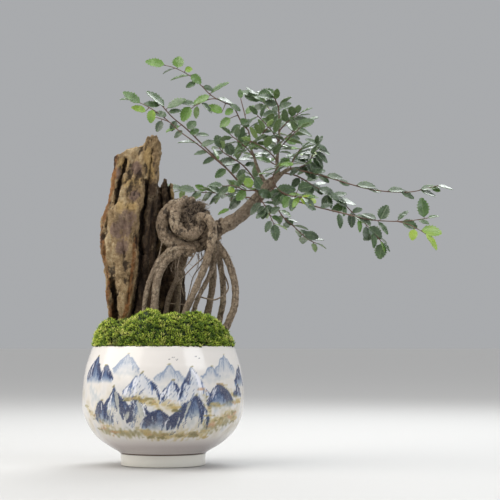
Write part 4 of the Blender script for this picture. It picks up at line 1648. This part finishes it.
        (82, 292, 71, 290.4, 5, 0.15, 0.4), (86, 286, 95, 290.4, 5, 0.15, 0.4), (88.6, 280, 78.6, 283, 4.6, 0.15, 0.4),
    ],
    "shoot_back_right": [
        (107.6, 273.4, 121.7, 279.6, 7.4, 0.35, 0.25), (104, 270.6, 116.2, 270, 5.2, 0.3, 0.3), (113, 276.6, 105.6, 280.4, 4.6, 0.2, 0.4),
        (99, 265, 108.6, 262.4, 5, 0.15, 0.7), (96.6, 262, 105.4, 258.4, 5.6, 0.65, 0.4),
    ],
}
leafLook = {
    "thick": 0.42, "stalk": 0.30, "fold": (0.14, 0.34), "droop": (0.02, 0.16), "length": (9.4, 13.0), "plump": 0.52,
}


def leafTemplate():  # half of it is made, then it gets a toothed edge, a fold and a thickness
    bpy.ops.mesh.primitive_grid_add(x_subdivisions=2, y_subdivisions=14, size=1, location=(0, 0.5, 0))
    leaf = bpy.context.object
    onlyThis(leaf)
    bpy.ops.object.transform_apply(location=True, rotation=True, scale=True)
    rows = sorted({round(v.co.y, 5) for v in leaf.data.vertices})
    for number, row in enumerate(rows):
        share = number / (len(rows) - 1)
        outline = math.sin(math.pi * share ** 0.86) ** 0.66 if 0 < number < len(rows) - 1 else 0.03
        tooth = 1.0 + (0.17 if number % 2 else -0.12) * (1 if 2 < number < len(rows) - 1 else 0)
        chosen = [i for i, v in enumerate(leaf.data.vertices) if abs(v.co.y - row) < 1e-4]
        sizeVerts(leaf, chosen, (outline * tooth, 1, 1), (0, row, 0))
        moveVerts(leaf, [i for i in chosen if abs(leaf.data.vertices[i].co.x) > 1e-4], (0, 0.022 if number % 2 else 0, 0))
    flat = len(leaf.data.vertices)
    skin = leaf.modifiers.new("thick", "SOLIDIFY")
    skin.thickness = leafLook["thick"] / 13.0
    skin.offset = 0
    applyModifiers(leaf)
    co = vertArray(leaf)
    under = (np.arange(len(co)) >= flat).astype(float)
    if co[:flat, 2].mean() < 0:
        under = 1 - under
    faces = np.array([list(p.vertices) for p in leaf.data.polygons])
    bpy.data.objects.remove(leaf)
    return co, faces, under


def stemPoints(stem):
    route, girth = stem[0], stem[1]
    drawn = smoothRoute(route, 6)
    share = np.linspace(0, 1, len(drawn))
    return np.array(drawn), girth[0] + (girth[1] - girth[0]) * share


def leafFromView(rng, base, tip, width):  # a leaf seen from the front at this base, tip and width
    forward = Vector((tip[0] - base[0], rng.uniform(-2.6, 2.6), tip[2] - base[2]))
    length = forward.length
    forward.normalize()
    plump = max(width * 1.04, length * rng.uniform(0.50, 0.58))
    roll = math.acos(min(width / plump, 1.0))
    front = Vector((0, -1, 0))
    front = (front - forward * front.dot(forward)).normalized()
    upward = forward.cross(front)
    if upward.z < 0:
        upward = -upward
    face = front * math.cos(roll) + upward * math.sin(roll)
    return forward, face.normalized(), length, plump


def leafByRule(rng, place, along, side, roll, last):
    across = along.cross(Vector((0, 0, 1)))
    if across.length < 0.35:
        across = along.cross(Vector((0, 1, 0)))
    across.normalize()
    opening = math.radians(8 if last else rng.uniform(42, 68))
    out = Matrix.Rotation(math.radians(roll + rng.uniform(-28, 28)), 3, along) @ (across * side)
    forward = (along * math.cos(opening) + out * math.sin(opening)).normalized()
    face = along.cross(out)
    if face.z < 0:
        face = -face
    face = (face - forward * face.dot(forward)).normalized()
    forward.y *= 0.55  # turned so that it catches the light from above
    forward.normalize()
    face = (face * 0.45 + Vector((0, -0.25, 1.0))).normalized()
    face = (face - forward * face.dot(forward)).normalized()
    face = Matrix.Rotation(math.radians(rng.uniform(-30, 30)), 3, forward) @ face
    return forward, face


def planShoot(name, stems, taken):
    rng = random.Random(name)
    leaves, stalks = [], []
    routes = [stemPoints(stem) for stem in stems]
    everyPoint = np.concatenate([r[0] for r in routes])
    set_ = setLeaves.get(name, [])
    for bx, bz, tx, tz, width, fresh, pale in set_:
        gap = np.hypot(everyPoint[:, 0] - bx, everyPoint[:, 2] - bz)
        anchor = everyPoint[gap.argmin()]
        base = Vector((bx, anchor[1] - rng.uniform(0, 1.4), bz))
        forward, face, length, plump = leafFromView(rng, base, (tx, 0, tz), width)
        if gap.min() < 0.8:
            base = base + forward * 0.9
        stalks.append((Vector(anchor), base, forward))
        leaves.append((base, forward, face, length, plump, fresh, pale))
        taken.append(base + forward * length * 0.5)
    crowded = 0.55 if name not in ("shoot_long_left", "shoot_top_left", "shoot_right_upper", "shoot_right_lower") else 1.25
    for (points, girth), stem in zip(routes, stems):
        spacing, first, roll = stem[2] * crowded, stem[3] * 0.8, stem[4]
        steps = np.concatenate([[0], np.cumsum(np.linalg.norm(np.diff(points, axis=0), axis=1))])
        count = int((steps[-1] - first) / spacing) + 1
        for number in range(count + 1):
            last = number == count
            distance = steps[-1] - 0.8 if last else first + number * spacing
            place = Vector([np.interp(distance, steps, points[:, k]) for k in range(3)])
            ahead = Vector([np.interp(distance + 1.0, steps, points[:, k]) for k in range(3)])
            behind = Vector([np.interp(distance - 1.0, steps, points[:, k]) for k in range(3)])
            along = (ahead - behind).normalized()
            forward, face = leafByRule(rng, place, along, 1 if number % 2 else -1, roll, last)
            length = rng.uniform(*leafLook["length"]) * (0.84 if number > count - 2 else 1.0)
            plump = length * leafLook["plump"] * rng.uniform(0.88, 1.08)
            fresh, pale = rng.betavariate(1.5, 4.2), rng.betavariate(1.6, 2.8)
            base = place + forward * 1.5
            middle = base + forward * length * 0.5
            if any((middle - other).length < 4.4 for other in taken):
                continue
            if set_ and any(math.hypot(middle.x - o.x, middle.z - o.z) < 7.5 for o in taken[-len(set_) * 2:]) and crowded > 1:
                continue
            taken.append(middle)
            stalks.append((place, base, forward))
            leaves.append((base, forward, face, length, plump, fresh, pale))
    return routes, leaves, stalks


def buildLeaves(name, leaves, template, paint):
    co, faces, under = template
    rng = random.Random(name + "shape")
    allVerts, allFaces, fresh, pale, uv = [], [], [], [], []
    for k, (base, forward, face, length, plump, freshness, paleness) in enumerate(leaves):
        wide = forward.cross(face).normalized()
        fold, droop = rng.uniform(*leafLook["fold"]), rng.uniform(*leafLook["droop"])
        twist, ripple = rng.uniform(-0.25, 0.25), rng.uniform(0.2, 1.0)
        across, along, through = co[:, 0] * plump * 2 / 2, co[:, 1] * length, co[:, 2] * 13.0
        lift = through + np.abs(across) * fold - droop * length * co[:, 1] ** 2
        lift += twist * across * co[:, 1] + ripple * np.abs(co[:, 0]) * np.sin(co[:, 1] * 15 + k) * 0.6
        basis = np.array([wide, forward, face])
        allVerts.append(np.stack([across, along, lift], 1) @ basis + np.array(base))
        allFaces.append(faces + k * len(co))
        fresh.append(np.full(len(co), freshness))
        pale.append(np.full(len(co), paleness))
        uv.append(np.stack([co[:, 0] + 0.5, co[:, 1]], 1))
    piece = meshFrom(name, np.concatenate(allVerts) * mm + np.array(at(0, 0, 0)), np.concatenate(allFaces))
    storeValues(piece, "fresh", np.concatenate(fresh))
    storeValues(piece, "pale", np.concatenate(pale))
    storeValues(piece, "under", np.tile(under, len(leaves)))
    corners = np.zeros(len(piece.data.loops), int)
    piece.data.loops.foreach_get("vertex_index", corners)
    layer = piece.data.uv_layers.new(name="leafMap")
    layer.data.foreach_set("uv", np.concatenate(uv)[corners].ravel())
    onlyThis(piece)
    bpy.ops.object.mode_set(mode="EDIT")
    bpy.ops.mesh.select_all(action="SELECT")
    bpy.ops.mesh.normals_make_consistent(inside=False)
    bpy.ops.object.mode_set(mode="OBJECT")
    words = name.split("_")
    finishPiece(piece, "leaves" + "".join(word.title() for word in words[1:]), paint, [name])
    bpy.ops.object.shade_smooth_by_angle(angle=math.radians(50))


def leafPaint():
    mat, tree, shader = newMaterial("elmLeaf")
    place = objectPlace(tree)
    uv = tree.nodes.new("ShaderNodeUVMap")
    uv.uv_map = "leafMap"
    parts = tree.nodes.new("ShaderNodeSeparateXYZ")
    feed(tree, uv.outputs[0], parts.inputs[0])
    across = calc(tree, "ABSOLUTE", calc(tree, "SUBTRACT", parts.outputs[0], 0.5))
    vein = calc(tree, "SUBTRACT", calc(tree, "MULTIPLY", parts.outputs[1], 7.5), calc(tree, "MULTIPLY", across, 5.0))
    sideVein = calc(tree, "ABSOLUTE", calc(tree, "SUBTRACT", calc(tree, "FRACT", vein), 0.5))
    veins = span(tree, sideVein, 0.0, 0.16, 1.0, 0.0)
    midrib = span(tree, across, 0.0, 0.05, 1.0, 0.0)
    lines = calc(tree, "MAXIMUM", calc(tree, "MULTIPLY", veins, 0.55), midrib)
    fine, grit, height = useGroup(tree, surfaceGrain, Place=place, Scale=900.0)
    broad = noiseAt(tree, place, 160, 3, 0.55)
    fresh = calc(tree, "ADD", attribute(tree, "fresh"), calc(tree, "MULTIPLY", calc(tree, "SUBTRACT", broad, 0.5), 0.35))
    green = ramp(tree, fresh, [(0.0, (0.009, 0.024, 0.006)), (0.25, (0.030, 0.076, 0.013)), (0.5, (0.088, 0.19, 0.022)),
                               (0.75, (0.15, 0.30, 0.030)), (1.0, (0.36, 0.50, 0.050))])
    sheen = mixColour(tree, broad, (0.095, 0.145, 0.085), (0.26, 0.34, 0.23))
    amount = calc(tree, "MULTIPLY", attribute(tree, "pale"), span(tree, calc(tree, "ADD", broad, calc(tree, "MULTIPLY", across, 0.5)), 0.35, 0.75, 0.12, 0.55))
    colour = mixColour(tree, amount, green, sheen)
    colour = mixColour(tree, calc(tree, "MULTIPLY", lines, 0.30), colour, (0.34, 0.46, 0.22))
    edge = span(tree, across, 0.40, 0.5, 0.0, 0.35)
    colour = mixColour(tree, edge, colour, (0.30, 0.38, 0.20))
    below = mixColour(tree, fresh, (0.085, 0.140, 0.060), (0.32, 0.44, 0.12))
    colour = mixColour(tree, calc(tree, "MULTIPLY", attribute(tree, "under"), 0.8), colour, below)
    feed(tree, colour, shader.inputs["Base Color"])
    feed(tree, span(tree, fine, 0.3, 0.7, 0.22, 0.36), shader.inputs["Roughness"])
    shader.inputs["Specular IOR Level"].default_value = 0.65
    shader.inputs["Coat Weight"].default_value = 0.2
    shader.inputs["Coat Roughness"].default_value = 0.2
    shader.inputs["Subsurface Weight"].default_value = 0.12
    shader.inputs["Subsurface Radius"].default_value = (0.0015, 0.003, 0.0006)
    height = calc(tree, "SUBTRACT", calc(tree, "MULTIPLY", height, 0.2), lines)
    feed(tree, bump(tree, height, 0.45, 0.0004), shader.inputs["Normal"])
    return mat


def twigPaint():
    mat, tree, shader = newMaterial("twigBark")
    place = objectPlace(tree)
    fine, grit, height = useGroup(tree, surfaceGrain, Place=place, Scale=800.0)
    broad = noiseAt(tree, place, 120, 3, 0.6)
    old = ramp(tree, fine, [(0.3, (0.055, 0.034, 0.024)), (0.7, (0.19, 0.135, 0.095))])
    young = ramp(tree, fine, [(0.3, (0.065, 0.030, 0.020)), (0.7, (0.185, 0.095, 0.060))])
    colour = mixColour(tree, attribute(tree, "young"), old, young)
    colour = mixColour(tree, span(tree, broad, 0.45, 0.65, 0.0, 0.4), colour, (0.24, 0.19, 0.14))
    feed(tree, colour, shader.inputs["Base Color"])
    feed(tree, span(tree, fine, 0.3, 0.7, 0.5, 0.75), shader.inputs["Roughness"])
    feed(tree, bump(tree, height, 0.6, 0.0004), shader.inputs["Normal"])
    return mat


def buildShoots():
    template = leafTemplate()
    paint = leafPaint()
    taken, twigs, total = [], [], 0
    for name, stems in shoots.items():
        routes, leaves, stalks = planShoot(name, stems, taken)
        buildLeaves(name, leaves, template, paint)
        total += len(leaves)
        for points, girth in routes:
            knots = [noise.noise(Vector((k * 0.7, len(points), 3))) * 0.22 + 1 for k in range(len(points))]
            route = [(at(*p), g * k * 0.8 * mm) for p, g, k in zip(points, girth, knots)]
            stem = tube("stem", route, 1)
            storeValues(stem, "young", np.clip(1.15 - np.repeat(girth, 1).mean() * 0.35, 0, 1) * np.ones(len(stem.data.vertices)))
            twigs.append(stem)
        for anchor, base, forward in stalks:
            bend = anchor.lerp(base, 0.55) + Vector((0, 0, 0.25))
            radius = leafLook["stalk"] * mm
            stalk = tube("stalk", [(at(*anchor), radius * 1.5), (at(*bend), radius), (at(*(base + forward * 0.5)), radius)], 0)
            storeValues(stalk, "young", np.ones(len(stalk.data.vertices)))
            twigs.append(stalk)
    joined = joinAll(twigs)
    finishPiece(joined, "twigs", twigPaint(), [])
    bpy.ops.object.shade_smooth()
    print("leaves", total, "twig faces", len(joined.data.polygons))


buildShoots()
print("shoots in leaf")

# ---- sizes ----

print("sizes written")
